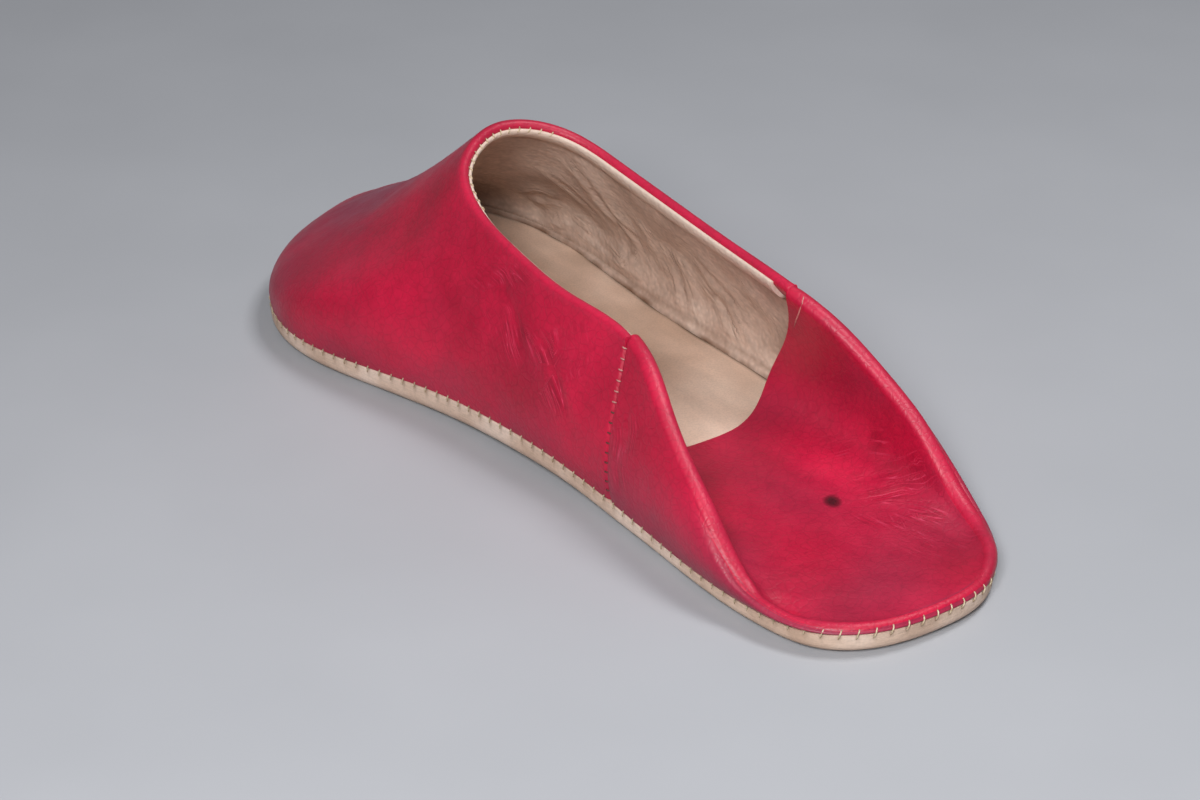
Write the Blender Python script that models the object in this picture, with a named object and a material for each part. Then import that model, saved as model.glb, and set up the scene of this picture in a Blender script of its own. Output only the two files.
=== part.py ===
"""Babouche slipper for the right foot, its heel quarter trodden down on the insole.

Metres, +Z up. The toe points to -Y and the heel to +Y. The inner side of the foot
(medial) is at +X and its outer side (lateral) at -X. The origin is on the floor, in
the middle of the slipper's own box.

The upper is one form: ribs rise from the seam round the sole to a closed top line.
In front of the side seams that line is the collar, and behind them it is the fold
where the quarter turns over and lies down on the insole.
"""

import math

import bpy
import numpy as np

# Driving sizes
LENGTH = 0.262
BALL_WIDTH = 0.0965
INSTEP_HEIGHT = 0.0640

SOLE_THICKNESS = 0.0030
SOLE_EDGE_HEIGHT = 0.0070
SOLE_EDGE_WALL = 0.0024
SOLE_EDGE_ROUND = 0.0038
INSOLE_THICKNESS = 0.0017
TOE_SPRING = 0.0030
ARCH_RISE = 0.0014

VAMP_WALL = 0.0016
COLLAR_ROLL = 0.0030
COLLAR_ROLL_DEPTH = 0.0060
QUARTER_WALL = 0.0014
FOLD_RADIUS = 0.0023
PIECE_GAP = 0.0003

# Near the heel the quarter's wall is trodden almost flat. Where the wall is lower than
# TALL_WALL its inner side is steered, and the flap leaves its fold as if from a fold
# SHORTEST_SINK high.
TALL_WALL = 0.004
SHORTEST_SINK = 0.004

# Shares of the length from the toe: where the side seams meet the sole and the collar,
# where the middle of the quarter's free edge lies on the insole, and how far the edge
# runs ahead of that on both sides of its middle.
SEAM = {"at_sole": 0.682, "at_collar": 0.663}
FREE_EDGE = {"middle": 0.647, "ahead": 0.026}

# Share of the steepest lean that keeps a low wall's inner side above the sole's edge
LEAN_SHARE = 0.85

# Triangle counts follow from these
RIBS_VAMP = 76
RIBS_FOLD_SIDE = 15
RIBS_HEEL_HALF = 10
RIB_ROWS_VAMP = 13
RIB_ROWS_QUARTER = 5
ROLL_ROWS = 5
SOLE_STATIONS_FRONT = 34
SOLE_STATIONS_HEEL = 18
SOLE_COLUMNS = 6

# Points that the two smooth curves are read from
OUTLINE_POINTS = 720
TOP_LINE_POINTS = 960

# Outline of the sole. Each row is one place along the foot.
# station: share of LENGTH from the toe; medial, lateral: half widths as shares of BALL_WIDTH
OUTLINE = (
    {"station": 0.027, "medial": 0.152, "lateral": 0.263},
    {"station": 0.074, "medial": 0.343, "lateral": 0.364},
    {"station": 0.136, "medial": 0.485, "lateral": 0.434},
    {"station": 0.213, "medial": 0.545, "lateral": 0.455},
    {"station": 0.306, "medial": 0.505, "lateral": 0.439},
    {"station": 0.407, "medial": 0.422, "lateral": 0.424},
    {"station": 0.512, "medial": 0.374, "lateral": 0.429},
    {"station": 0.616, "medial": 0.343, "lateral": 0.427},
    {"station": 0.725, "medial": 0.338, "lateral": 0.404},
    {"station": 0.833, "medial": 0.345, "lateral": 0.379},
    {"station": 0.911, "medial": 0.328, "lateral": 0.343},
    {"station": 0.961, "medial": 0.278, "lateral": 0.273},
    {"station": 0.990, "medial": 0.172, "lateral": 0.172},
)
# How far each tip is off the middle line, the same way
TIP = {"toe": -0.055, "heel": -0.010}

# Height of the seam between sole and upper, as a share of SOLE_EDGE_HEIGHT
SEAM_RISE = (
    {"station": 0.00, "rise": 0.80},
    {"station": 0.22, "rise": 0.80},
    {"station": 0.45, "rise": 1.00},
    {"station": 0.66, "rise": 0.80},
    {"station": 0.82, "rise": 0.62},
    {"station": 0.93, "rise": 0.70},
    {"station": 1.00, "rise": 0.80},
)

# Top line of the upper: the collar down to the side seams, and the fold behind them.
# half: half width as a share of BALL_WIDTH; centre: its middle, the same way;
# height: share of INSTEP_HEIGHT
TOP_LINE = (
    {"station": 0.3155, "half": 0.000, "centre": 0.012, "height": 1.000},
    {"station": 0.3250, "half": 0.095, "centre": 0.012, "height": 0.985},
    {"station": 0.3540, "half": 0.196, "centre": 0.014, "height": 0.925},
    {"station": 0.4000, "half": 0.244, "centre": 0.016, "height": 0.860},
    {"station": 0.4900, "half": 0.271, "centre": 0.012, "height": 0.785},
    {"station": 0.5750, "half": 0.278, "centre": 0.000, "height": 0.735},
    {"station": 0.6630, "half": 0.272, "centre": -0.014, "height": 0.700},
    {"station": 0.6950, "half": 0.290, "centre": -0.016, "height": 0.655},
    {"station": 0.7350, "half": 0.322, "centre": -0.018, "height": 0.560},
    {"station": 0.7800, "half": 0.348, "centre": -0.018, "height": 0.445},
    {"station": 0.8300, "half": 0.362, "centre": -0.016, "height": 0.315},
    {"station": 0.8800, "half": 0.356, "centre": -0.014, "height": 0.165},
    {"station": 0.9200, "half": 0.336, "centre": -0.010, "height": 0.116},
    {"station": 0.9620, "half": 0.277, "centre": -0.004, "height": 0.102},
    {"station": 0.9895, "half": 0.172, "centre": -0.004, "height": 0.100},
    {"station": 0.9990, "half": 0.000, "centre": -0.008, "height": 0.100},
)

# Form of a rib, from the toe (0) by the side seam (1) to the heel (2).
# rise, drop: shares of the rib's height; bulge, lean: shares of BALL_WIDTH, outwards at its
# lower and at its upper handle; reach: share of the rib's run in plan
RIB_FORM = (
    {"place": 0.00, "rise": 0.12, "bulge": 0.008, "reach": 0.600, "drop": 0.72, "lean": 0.000},
    {"place": 0.25, "rise": 0.24, "bulge": 0.026, "reach": 0.510, "drop": 0.60, "lean": 0.000},
    {"place": 0.50, "rise": 0.38, "bulge": 0.055, "reach": 0.340, "drop": 0.40, "lean": 0.000},
    {"place": 0.75, "rise": 0.40, "bulge": 0.050, "reach": 0.420, "drop": 0.34, "lean": 0.000},
    {"place": 1.00, "rise": 0.36, "bulge": 0.040, "reach": 0.550, "drop": 0.34, "lean": 0.000},
    {"place": 1.40, "rise": 0.40, "bulge": 0.048, "reach": 0.600, "drop": 0.30, "lean": 0.026},
    {"place": 1.60, "rise": 0.42, "bulge": 0.026, "reach": 0.540, "drop": 0.30, "lean": 0.018},
    {"place": 1.72, "rise": 0.45, "bulge": 0.010, "reach": 0.500, "drop": 0.30, "lean": 0.006},
    {"place": 1.86, "rise": 0.45, "bulge": 0.002, "reach": 0.450, "drop": 0.32, "lean": 0.001},
    {"place": 2.00, "rise": 0.45, "bulge": 0.000, "reach": 0.400, "drop": 0.35, "lean": 0.000},
)

# The quarter past its fold, from the side seam (0) to the heel (1).
# turn: degrees that the leather turns through; round: share of FOLD_RADIUS; sink: share of
# the fold's height that it keeps on straight; floor: share of the half width that lies flat
FOLD_FORM = (
    {"place": 0.00, "turn": 198.0, "round": 1.00, "sink": 0.72, "floor": 1.30},
    {"place": 0.20, "turn": 190.0, "round": 1.00, "sink": 0.72, "floor": 1.24},
    {"place": 0.40, "turn": 174.0, "round": 1.00, "sink": 0.72, "floor": 1.14},
    {"place": 0.60, "turn": 152.0, "round": 1.00, "sink": 0.72, "floor": 1.00},
    {"place": 0.78, "turn": 122.0, "round": 0.88, "sink": 0.90, "floor": 0.80},
    {"place": 0.90, "turn": 97.0, "round": 0.80, "sink": 1.10, "floor": 0.68},
    {"place": 1.00, "turn": 91.0, "round": 0.76, "sink": 1.20, "floor": 0.60},
)

RED_LEATHER = {"name": "red_leather", "colour": (0.50, 0.008, 0.035), "roughness": 0.42}
TAN_LEATHER = {"name": "tan_leather", "colour": (0.62, 0.44, 0.29), "roughness": 0.70}
SUEDE_SOCK = {"name": "insole_leather", "colour": (0.50, 0.35, 0.22), "roughness": 0.80}


def column(table, name):
    return np.array([row[name] for row in table], float)


def read_table(table, key, name, at):
    """Reads one column of a table between its rows, smoothly and without overshoot."""
    x, y = column(table, key), column(table, name)
    at = np.clip(np.asarray(at, float), x[0], x[-1])
    step = np.diff(x)
    slope = np.diff(y) / step
    tangent = np.zeros_like(y)
    same_way = slope[:-1] * slope[1:] > 0
    w1 = 2 * step[1:] + step[:-1]
    w2 = step[1:] + 2 * step[:-1]
    safe = np.where(same_way, slope[:-1] * slope[1:], 1.0)
    harmonic = (w1 + w2) * safe / (w1 * slope[1:] + w2 * slope[:-1] + (~same_way) * 1e9)
    tangent[1:-1] = np.where(same_way, harmonic, 0.0)
    tangent[0], tangent[-1] = slope[0], slope[-1]
    i = np.clip(np.searchsorted(x, at) - 1, 0, len(x) - 2)
    t = (at - x[i]) / step[i]
    h00 = (1 + 2 * t) * (1 - t) ** 2
    h10 = t * (1 - t) ** 2
    h01 = t**2 * (3 - 2 * t)
    h11 = t**2 * (t - 1)
    return h00 * y[i] + h10 * step[i] * tangent[i] + h01 * y[i + 1] + h11 * step[i] * tangent[i + 1]


def closed_spline(points, count):
    """A smooth closed curve through the points, sampled at even parameter steps."""
    points = np.asarray(points, float)
    n = len(points)
    chord = np.linalg.norm(np.roll(points, -1, 0) - points, axis=1)
    knot = np.concatenate([[0.0], np.cumsum(chord)])
    h = chord
    hp = np.roll(h, 1)
    matrix = np.zeros((n, n))
    for i in range(n):
        matrix[i, i] = 2 * (h[i] + hp[i])
        matrix[i, (i + 1) % n] += hp[i]
        matrix[i, (i - 1) % n] += h[i]
    ahead = (np.roll(points, -1, 0) - points) / h[:, None]
    behind = np.roll(ahead, 1, 0)
    tangent = np.linalg.solve(matrix, 3 * (hp[:, None] * ahead + h[:, None] * behind))
    at = np.linspace(0, knot[-1], count, endpoint=False)
    i = np.clip(np.searchsorted(knot, at, side="right") - 1, 0, n - 1)
    j = (i + 1) % n
    t = ((at - knot[i]) / h[i])[:, None]
    return (
        (1 + 2 * t) * (1 - t) ** 2 * points[i]
        + t * (1 - t) ** 2 * h[i][:, None] * tangent[i]
        + t**2 * (3 - 2 * t) * points[j]
        + t**2 * (t - 1) * h[i][:, None] * tangent[j]
    )


def along(station):
    """Share of the length from the toe, as a Y coordinate."""
    return (np.asarray(station, float) - 0.5) * LENGTH


def station_of(y):
    return np.asarray(y, float) / LENGTH + 0.5


def lift(x, y):
    """How far the sole's underside is off the floor: toe spring, and the arch, which is
    highest under the medial side of the waist."""
    station = station_of(y)
    toe = TOE_SPRING * np.clip((0.20 - station) / 0.20, 0, 1) ** 2
    waist = np.sin(np.pi * np.clip((station - 0.36) / 0.36, 0, 1)) ** 2
    medial = np.clip(0.5 + x / (0.8 * BALL_WIDTH), 0, 1)
    return toe + ARCH_RISE * waist * medial


def lifted(vertices):
    """Adds the sole's lift to points, fading out with height up the instep."""
    vertices = np.array(vertices, float)
    fade = np.clip(1 - vertices[:, 2] / (1.5 * INSTEP_HEIGHT), 0, 1)
    vertices[:, 2] += lift(vertices[:, 0], vertices[:, 1]) * fade
    return vertices


def sole_outline():
    """The sole's outline in plan, from the toe down the medial side and back."""
    medial = [(row["medial"] * BALL_WIDTH, along(row["station"])) for row in OUTLINE]
    lateral = [(-row["lateral"] * BALL_WIDTH, along(row["station"])) for row in OUTLINE]
    toe = [(TIP["toe"] * BALL_WIDTH, along(0))]
    heel = [(TIP["heel"] * BALL_WIDTH, along(1))]
    return closed_spline(toe + medial + heel + lateral[::-1], OUTLINE_POINTS)


def top_line():
    """The upper's top line in space: the collar, then the fold, from the throat."""
    rows = []
    for side in (1, -1):
        for row in TOP_LINE:
            x = (row["centre"] + side * row["half"]) * BALL_WIDTH
            rows.append((x, along(row["station"]), row["height"] * INSTEP_HEIGHT))
    medial, lateral = rows[: len(TOP_LINE)], rows[len(TOP_LINE) :]
    loop = medial + lateral[::-1][1:-1]
    return closed_spline(loop, TOP_LINE_POINTS)


def outward(loop):
    """Outward plan normals of a loop that starts at the toe and runs down the +X side."""
    tangent = np.roll(loop[:, :2], -1, 0) - np.roll(loop[:, :2], 1, 0)
    normal = np.stack([tangent[:, 1], -tangent[:, 0]], -1)
    return normal / np.linalg.norm(normal, axis=1)[:, None]


def places_on(loop, seam_station):
    """A place for every loop point: 0 toe, 1 medial seam, 2 heel, 3 lateral seam, 4 toe."""
    closed = np.vstack([loop, loop[:1]])
    run = np.concatenate([[0], np.cumsum(np.linalg.norm(np.diff(closed, axis=0), axis=1))])
    heel = int(np.argmax(loop[:, 1]))
    seam_y = along(seam_station)
    medial = int(np.argmin(np.abs(loop[:heel, 1] - seam_y)))
    lateral = heel + int(np.argmin(np.abs(loop[heel:, 1] - seam_y)))
    marks = [0, medial, heel, lateral, len(loop)]
    return np.interp(run, run[marks], [0, 1, 2, 3, 4])


def at_places(loop, seam_station, values, places):
    """Reads values carried by a loop's points at the given places."""
    known = places_on(loop, seam_station)
    values = np.vstack([values, values[:1]])
    return np.stack([np.interp(places % 4, known, values[:, k]) for k in range(values.shape[1])], -1)


def ribs(places, rows):
    """The upper's outer surface: for each place, points from the sole seam to the top line.
    Returns the points (places, rows, 3) and the unit outward plan normals at the sole."""
    places = np.asarray(places, float)
    sole = sole_outline()
    foot = at_places(sole, SEAM["at_sole"], sole, places)
    out = at_places(sole, SEAM["at_sole"], outward(sole), places)
    out /= np.linalg.norm(out, axis=1)[:, None]
    line = top_line()
    top = at_places(line, SEAM["at_collar"], line, places)
    rise = read_table(SEAM_RISE, "station", "rise", station_of(foot[:, 1]))
    foot_z = rise * SOLE_EDGE_HEIGHT + PIECE_GAP
    start = np.column_stack([foot, foot_z])
    fold_place = np.minimum(places % 4, 4 - places % 4)
    names = ("rise", "bulge", "reach", "drop", "lean")
    form = {name: read_table(RIB_FORM, "place", name, fold_place)[:, None] for name in names}
    height = (top[:, 2] - start[:, 2])[:, None]
    run = start - top
    run[:, 2] = 0
    up = np.array([0, 0, 1.0])
    out3 = np.column_stack([out, np.zeros(len(out))])
    low = start + up * form["rise"] * height + out3 * form["bulge"] * BALL_WIDTH
    high = top + run * form["reach"] - up * form["drop"] * height + out3 * form["lean"] * BALL_WIDTH
    t = np.asarray(rows, float)[None, :, None]
    a, b, c, d = (p[:, None, :] for p in (start, low, high, top))
    surface = (1 - t) ** 3 * a + 3 * t * (1 - t) ** 2 * b + 3 * t**2 * (1 - t) * c + t**3 * d
    return surface, out


def grid_normals(grid, ends):
    """Unit normals of a grid of points, with neighbours past each end given."""
    before, after = ends
    wide = np.concatenate([before, grid, after], 0)
    du = wide[2:] - wide[:-2]
    dv = np.gradient(grid, axis=1)
    normal = np.cross(dv, du)
    return normal / np.linalg.norm(normal, axis=2)[:, :, None]


def level(normals):
    """The same directions laid horizontal."""
    flat = normals * np.array([1.0, 1.0, 0.0])
    return flat / np.linalg.norm(flat, axis=-1, keepdims=True)


def mesh_object(name, vertices, faces, look):
    """Makes one named object with its own material."""
    vertices = np.array(vertices, float)
    mesh = bpy.data.meshes.new(name)
    mesh.from_pydata([tuple(v) for v in vertices], [], [tuple(int(i) for i in f) for f in faces])
    mesh.validate()
    mesh.shade_smooth()
    mesh.set_sharp_from_angle(angle=math.radians(50))
    material = bpy.data.materials.new(look["name"] + "_" + name)
    material.use_nodes = True
    shader = material.node_tree.nodes["Principled BSDF"]
    shader.inputs["Base Color"].default_value = (*look["colour"], 1)
    shader.inputs["Roughness"].default_value = look["roughness"]
    shader.inputs["Metallic"].default_value = 0.0
    mesh.materials.append(material)
    made = bpy.data.objects.new(name, mesh)
    bpy.context.scene.collection.objects.link(made)
    return made


def loop_faces(rings, around, closed_rings=False):
    """Quads between rings of points, each ring closed on itself."""
    faces = []
    last = rings if closed_rings else rings - 1
    for r in range(last):
        q = (r + 1) % rings
        for k in range(around):
            n = (k + 1) % around
            faces.append((r * around + k, r * around + n, q * around + n, q * around + k))
    return faces


def sole_places():
    """Places round the sole, the two sides in step, so that strips can cross it."""
    front = np.linspace(0, 1, SOLE_STATIONS_FRONT, endpoint=False)
    heel = np.linspace(1, 2, SOLE_STATIONS_HEEL, endpoint=False)
    half = np.concatenate([front, heel])
    return np.concatenate([half, [2.0], 4 - half[:0:-1]])


def sole_loop(inset, height):
    """The outline moved inwards, at one height: toe, medial side, heel, lateral side."""
    sole = sole_outline()
    places = sole_places()
    base = at_places(sole, SEAM["at_sole"], sole, places)
    out = at_places(sole, SEAM["at_sole"], outward(sole), places)
    out /= np.linalg.norm(out, axis=1)[:, None]
    return np.column_stack([base - out * inset, height * np.ones(len(base))])


def sheet_solid(rings):
    """Closes a stack of loops, lowest first, with strips across the first and the last.
    Returns vertices and faces."""
    around = len(rings[0])
    half = around // 2
    vertices = list(np.concatenate(rings))
    faces = loop_faces(len(rings), around)
    for ring, top in ((0, False), (len(rings) - 1, True)):
        first = ring * around
        rows = []
        for k in range(1, half):
            a, b = vertices[first + k], vertices[first + around - k]
            row = [first + k]
            for c in range(1, SOLE_COLUMNS):
                row.append(len(vertices))
                vertices.append(a + (b - a) * c / SOLE_COLUMNS)
            rows.append(row + [first + around - k])
        made = []
        for c in range(SOLE_COLUMNS):
            made.append((first, rows[0][c], rows[0][c + 1]))
            made.append((first + half, rows[-1][c + 1], rows[-1][c]))
            for low, high in zip(rows[:-1], rows[1:]):
                made.append((low[c], high[c], high[c + 1], low[c + 1]))
        faces += made if top else [f[::-1] for f in made]
    return np.array(vertices), faces


def build_outsole():
    """Thin leather sole: a tray with a rounded, turned up edge that meets the upper."""
    places = sole_places()
    sole = sole_outline()
    edge = at_places(sole, SEAM["at_sole"], sole, places)
    rise = read_table(SEAM_RISE, "station", "rise", station_of(edge[:, 1]))
    top = rise * SOLE_EDGE_HEIGHT
    rings = []
    for degrees in (0, 30, 60, 90):
        angle = math.radians(degrees)
        inset = SOLE_EDGE_ROUND * (1 - math.sin(angle))
        rings.append(sole_loop(inset, SOLE_EDGE_ROUND * rise * (1 - math.cos(angle))))
    rings.append(sole_loop(0.5 * PIECE_GAP, top))
    rings.append(sole_loop(SOLE_EDGE_WALL, top))
    rings.append(sole_loop(SOLE_EDGE_WALL + PIECE_GAP, SOLE_THICKNESS))
    vertices, faces = sheet_solid(rings)
    return mesh_object("outsole", lifted(vertices), faces, TAN_LEATHER)


def build_insole():
    """Leather sock that lies in the tray of the sole."""
    edge = SOLE_EDGE_WALL + 2 * PIECE_GAP
    low = SOLE_THICKNESS + PIECE_GAP
    rings = [
        sole_loop(edge + PIECE_GAP, low),
        sole_loop(edge, low + 0.5 * INSOLE_THICKNESS),
        sole_loop(edge + PIECE_GAP, low + INSOLE_THICKNESS),
    ]
    vertices, faces = sheet_solid(rings)
    return mesh_object("insole", lifted(vertices), faces, SUEDE_SOCK)


def build_vamp():
    """Front of the upper, open at the collar, at the back and underneath.
    Its collar edge is turned over into a roll thicker than the wall."""
    # One place is about a third of the length, measured round the sole
    seam_gap = 0.5 * PIECE_GAP / (0.35 * LENGTH)
    places = np.linspace(3 + seam_gap, 5 - seam_gap, RIBS_VAMP)
    rows = np.linspace(0, 1, RIB_ROWS_VAMP) ** 0.9
    outer, _ = ribs(places, rows)
    step = places[1] - places[0]
    before, _ = ribs(places[:1] - step, rows)
    after, _ = ribs(places[-1:] + step, rows)
    normal = grid_normals(outer, (before, after))
    if (normal[len(places) // 2, -1, 2]) < 0:
        normal = -normal
    from_top = np.linalg.norm(outer - outer[:, -1:], axis=2)
    thick = VAMP_WALL + (COLLAR_ROLL - VAMP_WALL) * np.clip(1 - from_top / COLLAR_ROLL_DEPTH, 0, 1) ** 0.7
    inner = outer - normal * thick[:, :, None]
    inner[:, 0] = outer[:, 0] - level(normal[:, 0]) * VAMP_WALL
    upward = outer[:, -1] - outer[:, -2]
    upward /= np.linalg.norm(upward, axis=1)[:, None]
    centre = 0.5 * (outer[:, -1] + inner[:, -1])
    radius = 0.5 * COLLAR_ROLL
    roll = []
    for k in range(1, ROLL_ROWS):
        angle = math.pi * k / ROLL_ROWS
        roll.append(centre + radius * (normal[:, -1] * math.cos(angle) + upward * math.sin(angle)))
    section = np.concatenate([outer, np.stack(roll, 1), inner[:, ::-1]], 1)
    across = section.shape[1]
    vertices = section.reshape(-1, 3)
    faces = loop_faces(len(places), across)
    for end, flip in ((0, False), (len(places) - 1, True)):
        loop = [end * across + k for k in range(across)]
        faces.append(tuple(loop if flip else loop[::-1]))
    faces = face_outwards(vertices, faces)
    return mesh_object("vamp", lifted(vertices), faces, RED_LEATHER)


def face_outwards(vertices, faces):
    """Turns all faces round if the closed mesh they make is inside out."""
    volume = 0.0
    for face in faces:
        a = vertices[face[0]]
        for j in range(1, len(face) - 1):
            volume += np.dot(a, np.cross(vertices[face[j]], vertices[face[j + 1]]))
    return faces if volume > 0 else [f[::-1] for f in faces]


def quarter_skin():
    """The grain side of the quarter: its wall, its fold, and the flap inside the fold.
    Returns vertices and quads of that one open sheet."""
    seam_gap = 0.5 * PIECE_GAP / (0.32 * LENGTH)
    side = np.linspace(1 + seam_gap, 1.86, RIBS_FOLD_SIDE)
    heel = np.linspace(1.86, 2.14, 2 * RIBS_HEEL_HALF + 1)
    places = np.concatenate([side, heel[1:-1], 4 - side[::-1]])
    rows = np.linspace(0, 1, RIB_ROWS_QUARTER)
    wall, _ = ribs(places, rows)
    # Directions across the fold: outwards in plan, and up
    line = top_line()
    out = at_places(line, SEAM["at_collar"], outward(line), places)
    out /= np.linalg.norm(out, axis=1)[:, None]
    out = np.column_stack([out, np.zeros(len(out))])
    up = np.array([0, 0, 1.0])
    to_heel = 1 - np.abs(places - 2)
    turn = np.radians(read_table(FOLD_FORM, "place", "turn", to_heel))
    lean = wall[:, -1] - wall[:, -2]
    lean_in = np.arctan2(-(lean * out).sum(1), lean[:, 2])
    # A low wall leans no more than keeps its inner side above the sole's edge
    height = wall[:, -1, 2] - wall[:, 0, 2]
    most = LEAN_SHARE * np.arcsin(np.clip(height / QUARTER_WALL, 0, 1))
    start = np.clip(lean_in, 0, most)
    radius = FOLD_RADIUS * read_table(FOLD_FORM, "place", "round", to_heel)

    def spoke(angle):
        return out * np.cos(angle)[:, None] + up * np.sin(angle)[:, None]

    centre = wall[:, -1] - spoke(start) * radius[:, None]
    # Straight through the leather: level at the sole's seam, turning up to the fold's start
    through = [spoke(start * share) for share in rows]
    arcs = []
    for share in np.linspace(0, 1, ROLL_ROWS + 1)[1:]:
        through.append(spoke(start + (turn - start) * share))
        arcs.append(centre + through[-1] * radius[:, None])
    through = np.stack(through, 1)
    band = np.concatenate([wall, np.stack(arcs, 1)], 1)
    edge = band[:, -1]
    heading = -out * np.sin(turn)[:, None] + up * np.cos(turn)[:, None]

    # The flap: rows from the free edge to the heel, each a hammock from fold to fold
    n_side, n_heel = RIBS_FOLD_SIDE, 2 * RIBS_HEEL_HALF
    floor_z = SOLE_THICKNESS + 2 * PIECE_GAP + INSOLE_THICKNESS + QUARTER_WALL
    share = np.abs(np.linspace(-1, 1, n_heel + 1))
    t = np.linspace(0, 1, n_heel + 1)
    flap = np.zeros((n_side, n_heel + 1, 3))
    for k in range(n_side):
        v = k / (n_side - 1)
        a, b = edge[k], edge[len(places) - 1 - k]
        ha, hb = heading[k], heading[len(places) - 1 - k]
        place = side[k] - 1
        sink = read_table(FOLD_FORM, "place", "sink", place)
        flat = read_table(FOLD_FORM, "place", "floor", place)
        middle = 0.5 * (a + b)
        middle[2] = floor_z
        halves = []
        for end, head in ((a, ha), (b, hb)):
            reach = sink * max(end[2] - floor_z, SHORTEST_SINK)
            p1 = end + head * reach
            p2 = middle + (end - middle) * np.array([flat, 0, 0])
            halves.append((end, p1, p2, middle))
        for i in range(n_heel + 1):
            p0, p1, p2, p3 = halves[0] if t[i] <= 0.5 else halves[1]
            u = 2 * t[i] if t[i] <= 0.5 else 2 * (1 - t[i])
            flap[k, i] = (1 - u) ** 3 * p0 + 3 * u * (1 - u) ** 2 * p1 + 3 * u**2 * (1 - u) * p2 + u**3 * p3
        # Lengthwise, the middle of each row runs ahead of its ends, most at the free edge
        ahead = along(FREE_EDGE["middle"] + (0.992 - FREE_EDGE["middle"]) * v) - 0.5 * (a[1] + b[1])
        inner = 1 - share
        flap[k, :, 1] += ahead * (inner**2 * (3 - 2 * inner))
        dip = np.sin(np.pi * np.clip(inner / 0.9, 0, 1)) ** 2
        flap[k, :, 1] -= FREE_EDGE["ahead"] * LENGTH * (1 - v) ** 2 * dip
    heel_line = edge[n_side - 1 : n_side + n_heel]
    miss = heel_line - flap[-1]
    for k in range(n_side):
        flap[k] += miss * (k / (n_side - 1)) ** 4
    flap[:, 0] = edge[:n_side]
    flap[:, -1] = edge[::-1][:n_side]

    across = band.shape[1]
    vertices = [band.reshape(-1, 3)]
    faces = []
    for k in range(len(places) - 1):
        for r in range(across - 1):
            faces.append((k * across + r, (k + 1) * across + r, (k + 1) * across + r + 1, k * across + r + 1))
    offset = len(places) * across
    index = np.zeros((n_side, n_heel + 1), int)
    extra = []
    for k in range(n_side):
        for i in range(n_heel + 1):
            if i == 0:
                index[k, i] = k * across + across - 1
            elif i == n_heel:
                index[k, i] = (len(places) - 1 - k) * across + across - 1
            elif k == n_side - 1:
                index[k, i] = (k + i) * across + across - 1
            else:
                index[k, i] = offset + len(extra)
                extra.append(flap[k, i])
    vertices.append(np.array(extra))
    for k in range(n_side - 1):
        for i in range(n_heel):
            faces.append((index[k, i], index[k + 1, i], index[k + 1, i + 1], index[k, i + 1]))
    vertices = np.concatenate(vertices)
    # Own normals serve on a tall wall and on the flap; a low wall and the fold are steered
    own = np.zeros((len(places), across))
    own[:, 1 : len(rows)] = np.clip(height / TALL_WALL - 0.5, 0, 1)[:, None]
    own = np.concatenate([own.ravel(), np.ones(len(extra))])
    steered = np.zeros_like(vertices)
    steered[:offset] = through.reshape(-1, 3)
    return vertices, faces, own, steered


def thickened(vertices, quads, wall, own, steered, lowest):
    """A closed solid from an open sheet of quads: its skin, a skin one wall deeper but
    nowhere below the lowest height, and a rim between them. The way through the leather is
    the skin's own normal or a steered one, as own says from 1 to 0."""
    quads = np.array(quads)
    a, b, c, d = (vertices[quads[:, k]] for k in range(4))
    face_normal = np.cross(c - a, d - b)
    normal = np.zeros_like(vertices)
    for k in range(4):
        np.add.at(normal, quads[:, k], face_normal)
    normal /= np.linalg.norm(normal, axis=1)[:, None]
    normal = normal * own[:, None] + steered * (1 - own)[:, None]
    normal /= np.linalg.norm(normal, axis=1)[:, None]
    count = len(vertices)
    deeper = vertices - normal * wall
    deeper[:, 2] = np.maximum(deeper[:, 2], lowest)
    both = np.concatenate([vertices, deeper])
    faces = [tuple(q) for q in quads] + [tuple(q[::-1] + count) for q in quads]
    sides = {(int(q[k]), int(q[(k + 1) % 4])) for q in quads for k in range(4)}
    for i, j in sorted(sides):
        if (j, i) not in sides:
            faces.append((j, i, i + count, j + count))
    return both, faces


def build_heel_quarter():
    """Back of the upper, trodden down: wall, fold and the flap on the insole."""
    vertices, quads, own, steered = quarter_skin()
    quads = np.array(quads)
    a, b, c, d = (vertices[quads[:, k]] for k in range(4))
    flap_up = np.cross(c - a, d - b)[-1][2]
    if flap_up < 0:
        quads = quads[:, ::-1]
    lowest = SOLE_THICKNESS + INSOLE_THICKNESS + 2 * PIECE_GAP
    solid, faces = thickened(vertices, quads, QUARTER_WALL, own, steered, lowest)
    faces = face_outwards(solid, faces)
    return mesh_object("heel_quarter", lifted(solid), faces, RED_LEATHER)


def centre_on_floor(made):
    """Moves all meshes so that the origin is under the middle of their common box."""
    corners = np.array([v.co for piece in made for v in piece.data.vertices])
    low, high = corners.min(0), corners.max(0)
    shift = (-(low[0] + high[0]) / 2, -(low[1] + high[1]) / 2, -low[2])
    for piece in made:
        for vertex in piece.data.vertices:
            vertex.co = [c + s for c, s in zip(vertex.co, shift)]


def main():
    for old in list(bpy.data.objects):
        bpy.data.objects.remove(old)
    centre_on_floor([build_outsole(), build_insole(), build_vamp(), build_heel_quarter()])


main()
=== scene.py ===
import math
from functools import partial

import bpy
import numpy as np
from mathutils import Matrix


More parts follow.
